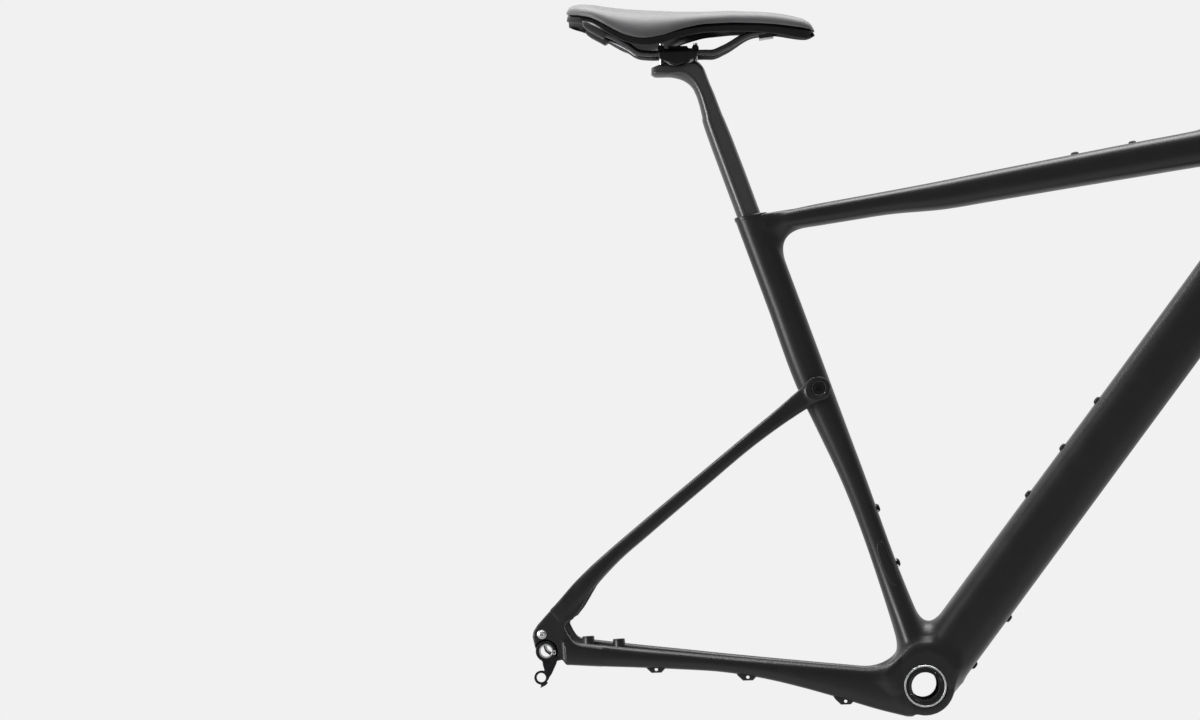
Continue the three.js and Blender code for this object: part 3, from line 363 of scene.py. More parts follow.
def skin_of(field, low, high, pitch):
    """The surface where a field is zero. A lattice finds the cells it crosses, each such cell gets one
    point, the mean of its edges' crossings, and every lattice edge that changes sign gets a face
    between its four cells. The points then slide down the field's gradient until they lie on it.
    Gives points, faces, normals, and each face's place along X in lattice steps."""
    first = np.floor(np.array(low) / pitch).astype(int)
    last = np.ceil(np.array(high) / pitch).astype(int)
    ax, ay, az = (np.arange(a, b + 1) * pitch for a, b in zip(first, last))
    y, z = ay.astype(np.float32)[None, :, None], az.astype(np.float32)[None, None, :]
    slabs = [part.astype(np.float32)[:, None, None] for part in np.array_split(ax, 24)]
    value = np.concatenate([field(slab, y, z).astype(np.float32) for slab in slabs])
    inside = value < 0
    nx, ny, nz = inside.shape
    corners = [(a, b, c) for a in (0, 1) for b in (0, 1) for c in (0, 1)]
    count = sum(inside[a : nx - 1 + a, b : ny - 1 + b, c : nz - 1 + c].astype(np.int8) for a, b, c in corners)
    crossed = (count > 0) & (count < 8)
    cells = np.argwhere(crossed)
    number = np.full(crossed.shape, -1)
    number[crossed] = np.arange(len(cells))
    held = np.stack([value[cells[:, 0] + a, cells[:, 1] + b, cells[:, 2] + c] for a, b, c in corners], 1)
    total, hits = np.zeros((len(cells), 3)), np.zeros((len(cells), 1))
    for i, one in enumerate(corners):
        for j, other in enumerate(corners):
            if j > i and sum(abs(m - n) for m, n in zip(one, other)) == 1:
                a, b = held[:, i], held[:, j]
                change = ((a < 0) != (b < 0))[:, None]
                share = (a / np.where(a == b, 1, a - b))[:, None]
                place = np.array(one) + share * (np.array(other) - np.array(one))
                total += np.where(change, place, 0)
                hits += change
    points = (cells + first + total / hits) * pitch
    for _ in range(4):
        slope = gradient_of(field, points)
        steep = np.maximum((slope**2).sum(1, keepdims=True), 0.05)
        move = slope * (field(*points.T)[:, None] / steep)
        length = np.linalg.norm(move, axis=1, keepdims=True)
        points -= move * np.minimum(1, 0.5 * pitch / np.maximum(length, 1e-9))
    normals = gradient_of(field, points)
    normals /= np.maximum(np.linalg.norm(normals, axis=1, keepdims=True), 1e-9)
    faces, places = [], []
    for axis in range(3):
        b, c = (axis + 1) % 3, (axis + 2) % 3
        near = [slice(1, -1)] * 3
        far = [slice(1, -1)] * 3
        near[axis], far[axis] = slice(0, -1), slice(1, None)
        before, after = inside[tuple(near)], inside[tuple(far)]
        node = np.argwhere(before != after)
        outward = before[tuple(node.T)]
        base = node + np.array([0 if k == axis else 1 for k in range(3)])
        ring = []
        for db, dc in ((-1, -1), (0, -1), (0, 0), (-1, 0)):
            cell = base.copy()
            cell[:, b] += db
            cell[:, c] += dc
            ring.append(number[tuple(cell.T)])
        quad = np.stack(ring, 1)
        faces.append(np.where(outward[:, None], quad, quad[:, ::-1]))
        places.append(base[:, 0] + first[0])
    return points, np.concatenate(faces), normals, np.concatenate(places)


def link(name, mesh, finish):
    mesh.materials.append(finish.material)
    made = bpy.data.objects.new(name, mesh)
    scene.collection.objects.link(made)
    return made


def closed(mesh, merge=False):
    """Fills a mesh's open rims and shades it smooth. With merge, doubled points are joined first and
    the faces are turned outwards."""
    work = bmesh.new()
    work.from_mesh(mesh)
    if merge:
        bmesh.ops.remove_doubles(work, verts=work.verts, dist=2e-6)
    rim = [e for e in work.edges if e.is_boundary]
    if rim:
        bmesh.ops.holes_fill(work, edges=rim, sides=0)
    if merge:
        bmesh.ops.recalc_face_normals(work, faces=work.faces)
    work.to_mesh(mesh)
    work.free()
    mesh.polygons.foreach_set("use_smooth", np.ones(len(mesh.polygons), bool))


def moulded(name, points, faces, normals, finish):
    """A mesh from a field's skin, in metres, shaded by the field's own normals. Where it was parted
    from its neighbour, the open rim is closed with a flat face."""
    used = np.unique(faces)
    renumber = np.zeros(len(points), int)
    renumber[used] = np.arange(len(used))
    points, normals, faces = points[used] * MM, normals[used], renumber[faces]
    mesh = bpy.data.meshes.new(name)
    mesh.vertices.add(len(points))
    mesh.vertices.foreach_set("co", points.astype(np.float32).ravel())
    mesh.loops.add(faces.size)
    mesh.loops.foreach_set("vertex_index", faces.astype(np.int32).ravel())
    mesh.polygons.add(len(faces))
    mesh.polygons.foreach_set("loop_start", np.arange(0, faces.size, 4, dtype=np.int32))
    mesh.update(calc_edges=True)
    closed(mesh)
    mesh.normals_split_custom_set_from_vertices(normals.tolist())
    return link(name, mesh, finish)


def rides(piece, body, slot, *nodes):
    """Puts a piece on its body, in place of those nodes. The slot is not used."""
    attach(piece, body)
    if nodes:
        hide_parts(*nodes)


points, faces, normals, places = skin_of(frame_body, (-182, -48, -42), (466, 48, 614), PITCH)
# The stays behind the cut belong to the rear triangle, but the seat tube leans back past it
ahead_of_cut = (places * PITCH >= CUT_X) | (points[faces].mean(1)[:, 2] > 120)
frame_shell = moulded("frame_shell", points, faces[ahead_of_cut], normals, satin_paint)
rides(
    frame_shell, "frame", "frame_carbon",
    "head_tube", "top_tube", "down_tube", "seat_tube", "bottom_bracket_shell",
)

# ---- Chainstays, seatstays and dropouts ----
# The rear triangle is a second carbon moulding. It has no pivot at the bottom bracket: the flat part
# of each chainstay bends a little, and the seatstays turn on the pin behind the seat tube.
AXLE = (-409.9, 65)
PIN = (-94.9, 332.8)
SIDES = ((-1, "right"), (1, "left"))
DROPOUT_LINE = np.array([
    (-362, 148), (-373.5, 137.0), (-383.6, 127.0), (-405.2, 106.2), (-417.2, 94.2), (-422.2, 87.4), (-423.6, 81.5),
    (-421.6, 70), (-418.2, 58.6), (-412, 53.5), (-402, 53), (-393, 54.5), (-389.6, 51.4), (-378, 50.2),
    (-366, 49.2), (-352, 47.8),
    (-352, 61.8), (-366, 64.4), (-375, 66.8), (-380, 72), (-385.4, 82), (-388.4, 89), (-387.0, 93.6), (-378.9, 97.6),
    (-371, 106.5), (-361, 121), (-350, 136),
])
PLATE_SIDE = ((-424, 74.4), (-388, 74.0), (-352, 69.0))
RUN = np.array([-382 + 99, 114 - 330.0]) / math.hypot(-382 + 99, 114 - 330)
SEATSTAY = [
    (-99, 25.2, 330, 4, 12.0, 2.8), (-116, 26.2, 319.6, 4.8, 10.6, 2.8), (-132, 27.6, 309.0, 5.6, 9.2, 2.7),
    (-168, 35, 284.6, 6.4, 7.6, 2.5), (-234, 45, 236.2, 6.4, 7.5, 2.4), (-299, 55, 187.8, 6.6, 7.8, 2.4),
    (-331, 61, 163.5, 6.6, 7.9, 2.4), (-354, 67, 143.8, 6.0, 8.9, 2.4), (-376, 72.2, 122, 4.4, 9.9, 2.4),
    (-392, 74.4, 106, 2.2, 8.0, 2.4),
]


def along_stay(x, z):
    """Distance down the line from the pin to the dropout, and distance off it."""
    return (x + 99) * RUN[0] + (z - 330) * RUN[1], -(x + 99) * RUN[1] + (z - 330) * RUN[0]


place, drop = zip(*(along_stay(x, z) for x, _, z, *_ in SEATSTAY))
upper_table = [eased(place, drop)] + [eased(place, [s[k] for s in SEATSTAY]) for k in (1, 3, 4, 5)]


def inside_line(x, z, outline):
    """Distance from a closed outline in X and Z, below zero inside it: the nearest of its edges, with
    the sign from how many edges a line to the right crosses."""
    nearest, crossings = np.full(np.broadcast(x, z).shape, 1e9), np.zeros(np.broadcast(x, z).shape, bool)
    for (ax, az), (bx, bz) in zip(outline, np.roll(outline, -1, 0)):
        ex, ez = bx - ax, bz - az
        share = np.clip(((x - ax) * ex + (z - az) * ez) / (ex * ex + ez * ez), 0, 1)
        nearest = np.minimum(nearest, (x - ax - share * ex) ** 2 + (z - az - share * ez) ** 2)
        spans = (az > z) != (bz > z)
        crossings ^= spans & (x < ax + (z - az) * ex / (ez if ez else 1e-9))
    return np.where(crossings, -1, 1) * np.sqrt(nearest)


def rear_body(x, y, z):
    """Chainstays, seatstays with the pin's ears, dropouts and bridge, joined with fillets."""
    aside = np.abs(y)
    s, v = along_stay(x, z)
    drop, centre, wide, deep, square = (table(s) for table in upper_table)
    upper = from_oval(aside - centre, v - drop, wide, deep, square)
    upper = np.maximum(np.maximum(upper, -3 - s), s - 373)
    ear = cut_by(from_point(x, z, PIN) - 12.5, np.abs(aside - 25) - 4, 1.2)
    upper = joined(upper, ear, 9)
    bar = from_point(x, z, (-130, 310.6)) - 6.6 - 0.8 * (y / 28) ** 2
    upper = joined(upper, np.maximum(bar, aside - 27), 3)
    upper = np.maximum(upper, 21 - aside - 40 * np.clip((-112 - x) / 12, 0, 1))
    middle = np.interp(x, *zip(*PLATE_SIDE))
    thick = np.interp(s, [296, 350], [-3, 3.4])
    plate = cut_by(inside_line(x, z, DROPOUT_LINE), np.abs(aside - middle) - thick, 2.0)
    lower = np.maximum(stays(x, y, z), -388 - x)
    body = joined(joined(lower, plate, 6), upper, np.interp(s, [325, 352, 372], [0.6, 2.0, 4.0]))
    body = np.maximum(body, 70.8 - aside - 60 * np.clip((x + 390) / 26, 0, 1))
    near_axle = from_point(x, z, AXLE)
    body = np.maximum(body, -np.maximum(near_axle - 12.2, 75.2 - aside))
    body = np.maximum(body, 6.3 - near_axle)
    return np.maximum(body, 8.5 - from_point(x, z, PIN))


NARROW = 1.5
points, faces, normals, places = skin_of(rear_body, (-432, -84, -40), (-58, 84, 350), NARROW)
# One cell past the cut, so that no gap opens between the two lattices
behind_cut = places * NARROW < CUT_X + NARROW
bending = behind_cut & (places * NARROW >= -260) & (points[faces].mean(1)[:, 2] < 100)
chainstays = moulded("chainstays", points, faces[bending], normals, satin_paint)
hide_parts("chainstay_right", "chainstay_left")
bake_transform(chainstays)
rear_end = moulded("rear_end", points, faces[behind_cut & ~bending], normals, satin_paint)
rides(
    rear_end, "rear_triangle", "frame_carbon",
    "seatstay_right", "seatstay_left", "dropout_right", "dropout_left", "seatstay_bridge",
)

# ---- Rims and rings of the frame ----
# The post's collar, the bottom bracket sleeve and the bearing seats are turned or machined parts,
# bonded into the carbon. Turned parts carry fine rings from the lathe.


def surface(name, points, finish, sharp=35):
    """A mesh from rows of points in millimetres, each row a closed ring. Doubled points are merged, so
    poles and seams close, the faces are turned outwards, and edges steeper than an angle stay crisp."""
    rows, columns = points.shape[:2]
    i, j = np.meshgrid(np.arange(rows - 1), np.arange(columns), indexing="ij")
    k = (j + 1) % columns
    here, next_row = i * columns, (i + 1) * columns
    faces = np.stack([here + j, here + k, next_row + k, next_row + j], -1).reshape(-1, 4)
    mesh = bpy.data.meshes.new(name)
    mesh.from_pydata((points.reshape(-1, 3) * MM).tolist(), [], faces.tolist())
    closed(mesh, merge=True)
    mesh.set_sharp_from_angle(angle=math.radians(sharp))
    return link(name, mesh, finish)


def turned(name, profile, base, axis, finish, around=96, flats=None):
    """A lathe part. The profile is (radius, distance along the axis) pairs; each pair is carried round
    the axis. Pairs listed in flats get a hexagon's radius, r cos 30 / cos(angle from the flat)."""
    profile = np.array(profile, float)
    axis = np.array(axis, float) / np.linalg.norm(axis)
    side = np.cross(axis, (0, 1, 0) if abs(axis[1]) < 0.9 else (1, 0, 0))
    side /= np.linalg.norm(side)
    other = np.cross(axis, side)
    a = np.arange(around) * 2 * math.pi / around
    radius = np.repeat(profile[:, :1], around, 1)
    if flats:
        six = math.cos(math.pi / 6) / np.cos(np.mod(a, math.pi / 3) - math.pi / 6)
        radius[flats] = radius[flats] * six / math.cos(math.pi / 6)
    points = (
        np.array(base)
        + profile[:, 1, None, None] * axis
        + radius[..., None] * (np.cos(a)[:, None] * side + np.sin(a)[:, None] * other)
    )
    return surface(name, points, finish)


bright_alloy = Finish("bright_alloy", 0.3, Metallic=1.0)
bright_alloy.shades(bright_alloy.cloudy(90, 4), (0.52, 0.53, 0.54), (0.70, 0.71, 0.72))
bright_alloy.varies("Roughness", 0.22 + 0.16 * bright_alloy.cloudy(700, 2, (1, 0.12, 1)))
bright_alloy.raised(bright_alloy.cloudy(2600, 1, (1, 0.1, 1)), 0.00001, 0.5)
black_alloy = Finish("black_alloy", 0.38, Metallic=0.85)
black_alloy.shades(black_alloy.cloudy(140, 3), (0.010, 0.010, 0.011), (0.022, 0.022, 0.024))
black_alloy.varies("Roughness", 0.30 + 0.16 * black_alloy.cloudy(420, 3))
black_alloy.raised(black_alloy.cloudy(3800, 2), 0.000012, 0.6)
bright_steel = Finish("bright_steel", 0.25, Metallic=1.0)
bright_steel.shades(bright_steel.cloudy(220, 3), (0.46, 0.46, 0.46), (0.62, 0.62, 0.61))
bright_steel.varies("Roughness", 0.18 + 0.18 * bright_steel.cloudy(900, 2))
seal_rubber = Finish("seal_rubber", 0.65, Specular_IOR_Level=0.2)
seal_rubber.shades(seal_rubber.cloudy(300, 3), (0.006, 0.006, 0.006), (0.011, 0.011, 0.011))
seal_rubber.raised(seal_rubber.cloudy(2500, 2), 0.00002, 0.5)


def squared(value, n):
    """A cosine or sine drawn out, so that a circle becomes |x|^n + |y|^n = 1."""
    return np.sign(value) * np.abs(value) ** (2 / n)


# The collar: a band round the post that follows the seat tube's outline, cut on the top tube's slope
a = np.linspace(0, 2 * math.pi, 120, endpoint=False)
collar = []
for wide, deep, middle, lift in (
    (14.3, 13.8, -0.6, -4.0), (14.3, 13.8, -0.6, 0.9), (14.9, 14.4, -0.6, 1.3), (18.2, 17.6, 1.0, 1.5),
    (18.9, 18.4, 1.1, 0.8), (19.0, 18.6, 1.1, -2.6), (18.4, 17.9, 1.2, -3.2), (14.3, 13.8, -0.6, -4.0),
):
    n = POST_SQUARE if middle < 0 else 2.6
    across, front = wide * squared(np.cos(a), n), middle + deep * squared(np.sin(a), n)
    # Height on the rim's sloping plane over each point of the outline
    rise = RIM_AT[1] + RIM_SLOPE * (math.sin(SEAT) * front - RIM_AT[0]) - math.cos(SEAT) * front
    up = rise / (math.sin(SEAT) + RIM_SLOPE * math.cos(SEAT)) + lift
    x, z = seat_place(up, front)
    collar.append(np.stack([x, across, z], -1))
rides(surface("post_collar", np.array(collar), satin_paint, 40), "frame", "frame_carbon")

half = 36.5
for side, word in ((1, "left"), (-1, "right")):
    outward = (0, side, 0)
    rides(turned(f"bearing_seat_{word}", [
        (19.2, half - 12), (21.15, half - 7.7), (21.15, half + 0.85), (21.45, half + 1.1), (22.6, half + 1.1),
        (23.0, half + 0.7), (23.0, half - 12), (19.2, half - 12),
    ], (0, 0, 0), outward, bright_alloy), "frame", "alloy")
    rides(turned(f"bearing_{word}", [
        (18.2, half - 7.1), (18.2, half - 0.5), (18.5, half - 0.25), (20.7, half - 0.25), (21.0, half - 0.5),
        (21.0, half - 7.1), (18.2, half - 7.1),
    ], (0, 0, 0), outward, seal_rubber), "frame", "steel", f"bb_bearing_outer_{word}")
    rides(turned(f"crank_seal_{word}", [
        (15.0, half - 7), (15.0, half + 0.1), (15.3, half + 0.4), (17.3, half + 0.2), (17.9, half - 0.3),
        (17.9, half - 7), (15.0, half - 7),
    ], (0, 0, 0), outward, seal_rubber), f"crank_race_{word}", "seal", f"bb_bearing_inner_{word}")
rides(turned("bracket_sleeve", [
    (22.55, -25), (22.55, 25), (19.2, 25), (19.2, -25), (22.55, -25),
], (0, 0, 0), (0, 1, 0), bright_alloy), "frame", "alloy", "bottom_bracket_sleeve")

head_base = (HEAD_LOW[0], 0, HEAD_LOW[1])
head_axis = (-math.cos(HEAD), 0, math.sin(HEAD))
for word, outer, mid, inner, low, high in (
    ("lower", 26.0, 23.0, 20.0, 0.9, 8.5), ("upper", 21.0, 18.2, 14.4, 150.4, 157.2),
):
    rides(turned(f"headset_race_{word}", [
        (mid + 0.2, low), (mid + 0.2, high), (outer - 0.3, high), (outer, high - 0.3), (outer, low + 0.3),
        (outer - 0.3, low), (mid + 0.2, low),
    ], head_base, head_axis, bright_steel), "frame", "steel", f"headset_{word}_outer")
    rides(turned(f"headset_seal_{word}", [
        (inner, low), (inner, high), (inner + 0.3, high + 0.2), (mid - 0.2, high), (mid - 0.2, low),
        (inner + 0.3, low - 0.2), (inner, low),
    ], head_base, head_axis, seal_rubber), f"steerer_race_{word}", "seal", f"headset_{word}_inner")

# ---- Bolts ----
# Button-head bolts close the threaded inserts for bottles, bags and a fender. Each has a domed head
# with a hexagon socket, and stands on a small round washer.


def button_bolt(name, at, out, node, body="frame", r=4.4, finish=black_alloy):
    """A washer and a domed head of radius r, with a hexagon socket."""
    profile = [
        (0, -6), (2.2, -6), (2.2, 0.2), (r + 0.7, 0.2), (r + 0.7, 0.75), (r + 0.35, 0.95), (r - 0.1, 1.0), (r, 1.35),
        (r * 0.94, 2.0), (r * 0.78, 2.7), (r * 0.62, 3.05), (r * 0.52, 3.15), (r * 0.48, 3.05), (r * 0.46, 1.6),
        (0, 1.35),
    ]
    rides(turned(name, profile, at, out, finish, 48, [12, 13]), body, "steel", node)


down_along = np.array((math.cos(DOWN), 0, math.sin(DOWN)))
down_up = np.array((-math.sin(DOWN), 0, math.cos(DOWN)))
seat_along = np.array((-math.cos(SEAT), 0, math.sin(SEAT)))
seat_front = np.array((math.sin(SEAT), 0, math.cos(SEAT)))
BOSS_PITCH, DOWN_HALF = 64, 31.3
top_slope = math.radians(6.8)
for i in (0, 1):
    word, step = i + 1, BOSS_PITCH * i
    at = (136 + step) * seat_along + 19.2 * seat_front
    button_bolt(f"seat_tube_boss_{word}", at, seat_front, f"seat_tube_bolt_{word}")
    at = (50 + step) * down_along - DOWN_HALF * down_up
    button_bolt(f"under_tube_boss_{word}", at, -down_up, f"under_tube_bolt_{word}")
    at = (204 + step, 0, 572.5 + step * 0.125)
    out = (-math.sin(top_slope), 0, math.cos(top_slope))
    button_bolt(f"top_tube_boss_{word}", at, out, f"top_tube_bolt_{word}")
for i in (0, 1, 2):
    at = (237 + BOSS_PITCH * i) * down_along + DOWN_HALF * down_up
    button_bolt(f"down_tube_boss_{i + 1}", at, down_up, f"down_tube_bolt_{i + 1}")
button_bolt("fender_boss", (-133, 0, 303.9), (0, 0, -1), "fender_bolt", "rear_triangle")
for side, word in SIDES:
    at = (-413.2, side * 77.4, 83.6)
    button_bolt(f"rack_boss_{word}", at, (0, side, 0), f"rack_bolt_{word}", "rear_triangle", 4.3, bright_steel)

# ---- Rear pin, axle seats and hanger ----
# A pin runs through the seatstay ears behind the seat tube. The wheel's axle screws into the dropouts,
# and a black machined hanger on the right holds the derailleur.
pin_at, axle_at = (PIN[0], 0, PIN[1]), (AXLE[0], 0, AXLE[1])
EYE, EYE_R = (-416.7, 36.9), 5.0
ARM_LINE = np.array([
    (-414.5, 58), (-414.2, 50.4), (-412.6, 44), (-417, 40), (-409.6, 34.5), (-405.2, 40), (-399.4, 51),
    (-397.6, 56), (-402, 66),
])
CLAW_LINE = np.array([(-417.4, 31.5), (-409.5, 31), (-412.4, 28.2), (-418.4, 25.6), (-417.2, 29)])
for side, word in SIDES:
    rides(turned(f"ear_ring_{word}", [
        (8.45, 22), (8.45, 28.7), (8.8, 29.1), (9.8, 29.2), (10.8, 29.0), (11.7, 28.5), (12.3, 27.6), (12.0, 22),
        (8.45, 22),
    ], pin_at, (0, side, 0), satin_paint), "rear_triangle", "frame_carbon")
    rides(turned(f"pin_bearing_{word}", [
        (5.3, 21.7), (5.3, 26.4), (5.6, 26.7), (7.7, 26.7), (8.0, 26.4), (8.0, 21.7), (5.3, 21.7),
    ], pin_at, (0, side, 0), bright_steel), "rear_triangle", "steel", f"kingpin_bearing_{word}")
rides(turned("pin_axle", [
    (0, -26.8), (5.0, -26.8), (5.0, 27.0), (7.4, 27.0), (7.4, 28.2), (6.9, 28.9), (3.3, 29.0), (3.1, 28.7),
    (2.9, 26.2), (0, 26.0),
], pin_at, (0, -1, 0), black_alloy, 96, [7, 8]), "rear_triangle", "black_alloy", "kingpin_axle")
rides(turned("pin_bolt", [
    (0, 26.95), (7.4, 26.95), (7.4, 28.2), (6.9, 28.9), (3.3, 29.0), (3.1, 28.7), (2.9, 27.6), (0, 27.5),
], pin_at, (0, 1, 0), black_alloy, 96, [5, 6]), "rear_triangle", "black_alloy", "kingpin_bolt")
for side, word in SIDES:
    rides(turned(f"axle_insert_{word}", [
        (6.1, 70.9), (6.1, 75.9), (6.5, 76.2), (7.6, 76.2), (7.9, 75.9), (7.9, 70.9), (6.1, 70.9),
    ], axle_at, (0, side, 0), bright_alloy), "rear_triangle", "alloy")


def hanger_body(x, y, z):
    """A disc round the axle, an arm, and an eye below it, with a small stop claw, all one plate."""
    disc, eye = from_point(x, z, AXLE), from_point(x, z, EYE)
    flat = joined(joined(disc - 11.2, eye - 7.6, 2), inside_line(x, z, ARM_LINE), 2)
    outline = np.maximum(flat, 8.1 - disc)
    thick = np.where(disc < 12.5, np.abs(y + 77.4) - 1.7, np.abs(y + 78.5) - 2.6)
    body = cut_by(outline, thick, 0.9)
    claw = cut_by(inside_line(x, z, CLAW_LINE), np.abs(y + 78.4) - 2.5, 0.9)
    body = joined(body, claw, 1.5)
    return cut_by(body, EYE_R - eye, 0.9)


fine = 0.55
points, faces, normals, _ = skin_of(hanger_body, (-428, -82.5, 20), (-396, -74, 80), fine)
rides(moulded("hanger", points, faces, normals, black_alloy), "rear_triangle", "black_alloy", "derailleur_hanger")
rides(turned("hanger_screw", [
    (0, 76), (1.6, 76), (1.6, 78.6), (2.5, 78.6), (2.5, 79.4), (2.1, 79.9), (1.2, 80.0), (1.1, 79.0), (0, 78.9),
], (-401.3, 0, 63), (0, -1, 0), bright_steel, 36, [6, 7]), "rear_triangle", "steel", "hanger_bolt")

# ---- Cable guides, brake posts and cable port ----
# Small tabs under the right chainstay hold the gear cable, two posts on the left one carry the flat
# brake, and a moulded plate closes the cable opening low on the seat tube.
for n, (x, y, z) in enumerate(((-292, -56, 41), (-193, -45, 26), (-88, -38, -7))):
    def guide(px, py, pz, x=x, y=y, z=z):
        """A low tab with slanted ends and a hole, thinner across than along."""
        line = np.array([(-15, 5), (15, 3), (11, -2.5), (5.4, -7.8), (-5.4, -7.4), (-11, -1.5)]) + (x, z)
        flat = cut_by(inside_line(px, pz, line), np.abs(py - y) - 2.4, 1.2)
        return cut_by(flat, 1.8 - np.sqrt((px - x) ** 2 + (pz - z + 4.0) ** 2), 0.6)

    points, faces, normals, _ = skin_of(guide, (x - 17, y - 4, z - 10), (x + 17, y + 4, z + 7), fine)
    tab = moulded(f"cable_guide_{n + 1}", points, faces, normals, satin_paint)
    if x < -260:
        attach(tab, "rear_triangle")
    else:
        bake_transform(tab)
for n, (x, z) in enumerate(((-368.5, 66), (-334.5, 61))):
    rides(turned(f"brake_post_{n + 1}", [
        (0, -8), (7.6, -8), (7.0, 1), (6.7, 7.2), (6.3, 7.8), (3.0, 7.9), (2.7, 7.5), (2.6, -2), (0, -2.2),
    ], (x, 61, z), (0, 0, 1), satin_paint, 64), "rear_triangle", "frame_carbon")


def side_of(field, x, z, start, side):
    """How far out a body's surface is at each x and z: start outside it and step in until the field
    is zero."""
    y = np.full(x.shape, side * start)
    for _ in range(30):
        y = y - side * np.clip(field(x, y, z), -2.0, 2.0) * 0.8
    return y


def lying_on(name, field, outline, rise, side, finish):
    """A plate that follows a body's side. Rings shrink from the outline to its middle, and their
    height over the body goes from below it up to the plate's thickness over a rounded edge."""
    middle = outline.mean(0)
    rings = (
        (1.0, -1.2), (1.0, 0.3 * rise), (0.985, 0.7 * rise), (0.95, 0.94 * rise),
        (0.9, rise), (0.6, rise), (0.3, rise), (0.0, rise),
    )
    made = []
    for share, height in rings:
        flat = middle + (outline - middle) * share
        y = side_of(field, flat[:, 0], flat[:, 1], 26.0, side)
        made.append(np.stack([flat[:, 0], y + side * height, flat[:, 1]], -1))
    return surface(name, np.array(made), finish, 40)


def rounded_line(points, count):
    """A closed smooth line through points, evenly divided, each span a Catmull-Rom cubic."""
    points = np.asarray(points, float)
    t = np.linspace(0, len(points), count, endpoint=False)
    i = t.astype(int)
    f = (t - i)[:, None]
    a, b, c, d = (points[(i + k) % len(points)] for k in (-1, 0, 1, 2))
    return b + 0.5 * f * (c - a + f * (2 * a - 5 * b + 4 * c - d + f * (3 * (b - c) + d - a)))


port_line = rounded_line([
    (-40.0, 159.9), (-42.2, 156.9), (-42.0, 149.9), (-40.4, 140.1), (-37.5, 131.1), (-34.0, 123.0),
    (-31.3, 117.1), (-29.4, 113.5), (-26.0, 111.1), (-22.5, 111.7), (-20.9, 116.0), (-22.1, 123.6),
    (-23.8, 131.2), (-26.4, 138.4), (-29.1, 144.7), (-31.7, 151.9), (-34.4, 158.2), (-36.9, 160.6),
], 108)
port_plastic = Finish("port_plastic", 0.3, Specular_IOR_Level=0.32)
port_plastic.shades(port_plastic.cloudy(120, 3), (0.007, 0.007, 0.0075), (0.011, 0.011, 0.0115))
port_plastic.varies("Roughness", 0.24 + 0.12 * port_plastic.cloudy(500, 3))
port_plastic.raised(port_plastic.cloudy(2200, 2), 0.00002, 0.5)
cable_port = lying_on("cable_port", frame_body, port_line, 0.9, -1, port_plastic)
rides(cable_port, "frame", "shell_plastic", "cable_port_cover")

# ---- Seatpost ----
# One carbon tube with a D section: round behind and flatter in front, with a soft crease between. Its
# top bends back into a head that holds the saddle clamp. A wedge in the frame grips it.
REAR_LINE = np.array([
    (-196.9, 609.1), (-201.9, 626.8), (-204.2, 636.3), (-203.9, 640.5), (-205.9, 652.4), (-208.4, 663.2),
    (-212.1, 673.0), (-216.0, 678.0), (-221.0, 682.0), (-226.2, 684.6), (-231.5, 686.2), (-236.7, 687.4),
    (-242.5, 687.8), (-247.9, 687.9), (-253.7, 688.3), (-257.4, 691.0),
])
FRONT_LINE = np.array([
    (-172.4, 616.4), (-177.2, 630.4), (-179.8, 638.0), (-181.4, 642.0), (-185.6, 655.3), (-189.2, 667.0),
    (-193.2, 678.0), (-195.8, 686.5), (-198.6, 695.5), (-204.0, 702.6), (-211.0, 703.2), (-218.0, 700.4),
    (-227.0, 698.9), (-236.5, 701.2), (-246.0, 702.6), (-256.6, 699.2),
])
# Below the drawn lines the post runs straight down into the seat tube
foot, face = ([seat_place(up, front) for up in (400, 404, 500, 600)] for front in (-13.6, 12.4))
rear_line, front_line = np.vstack([foot, REAR_LINE]), np.vstack([face, FRONT_LINE])
station = np.arange(len(rear_line), dtype=float)
fine_at = np.concatenate([np.linspace(0, 3, 8, endpoint=False), np.linspace(3, len(rear_line) - 1, 110)])
rear_at = np.stack([np.interp(fine_at, station, rear_line[:, k]) for k in (0, 1)], 1)
front_at = np.stack([np.interp(fine_at, station, front_line[:, k]) for k in (0, 1)], 1)
for _ in range(3):
    rear_at[9:-1] = (rear_at[8:-2] + 2 * rear_at[9:-1] + rear_at[10:]) / 4
    front_at[9:-1] = (front_at[8:-2] + 2 * front_at[9:-1] + front_at[10:]) / 4
# The section, from its back at -1 to its front at 1, with the crease and the front edge between
CREASE, FRONT_EDGE = -0.30, 0.62
depth = np.concatenate([
    CREASE - (1 + CREASE) * np.cos(np.linspace(0, math.pi / 2, 16)) - 1e-4,
    [CREASE + 0.04, CREASE + 0.08],
    np.linspace(CREASE + 0.12, FRONT_EDGE, 11, endpoint=False),
    FRONT_EDGE + 0.38 * np.sin(np.linspace(0, math.pi / 2, 14)),
])
behind = np.sqrt(np.clip(1 - ((depth - CREASE) / (1 + CREASE)) ** 2, 0, 1))
facet = 0.95 - 0.065 * (depth - CREASE) / (FRONT_EDGE - CREASE)
nose = 0.885 * np.clip(1 - ((depth - FRONT_EDGE) / 0.38) ** 2, 0, 1) ** 0.42
breadth = np.where(depth < CREASE, behind, np.where(depth < FRONT_EDGE, facet, nose))
loop_depth = np.concatenate([depth, depth[-2:0:-1]])
loop_breadth = np.concatenate([breadth, -breadth[-2:0:-1]])
head_share = np.clip((fine_at - 12) / 6, 0, 1)[:, None]
broad = 13.5 - 0.6 * np.clip((fine_at - 5.4) / 0.8, 0, 1)[:, None] + 0.6 * head_share
middle, reach = (rear_at + front_at) / 2, (front_at - rear_at) / 2
end_round = np.sqrt(np.clip(1 - ((fine_at - (len(rear_line) - 1.9)) / 0.9).clip(0, 1) ** 2, 0.10, 1))[:, None]
across = broad * loop_breadth * end_round
outline = middle[:, None] + reach[:, None] * loop_depth[None, :, None]
post_points = np.stack([outline[..., 0], across, outline[..., 1]], -1)
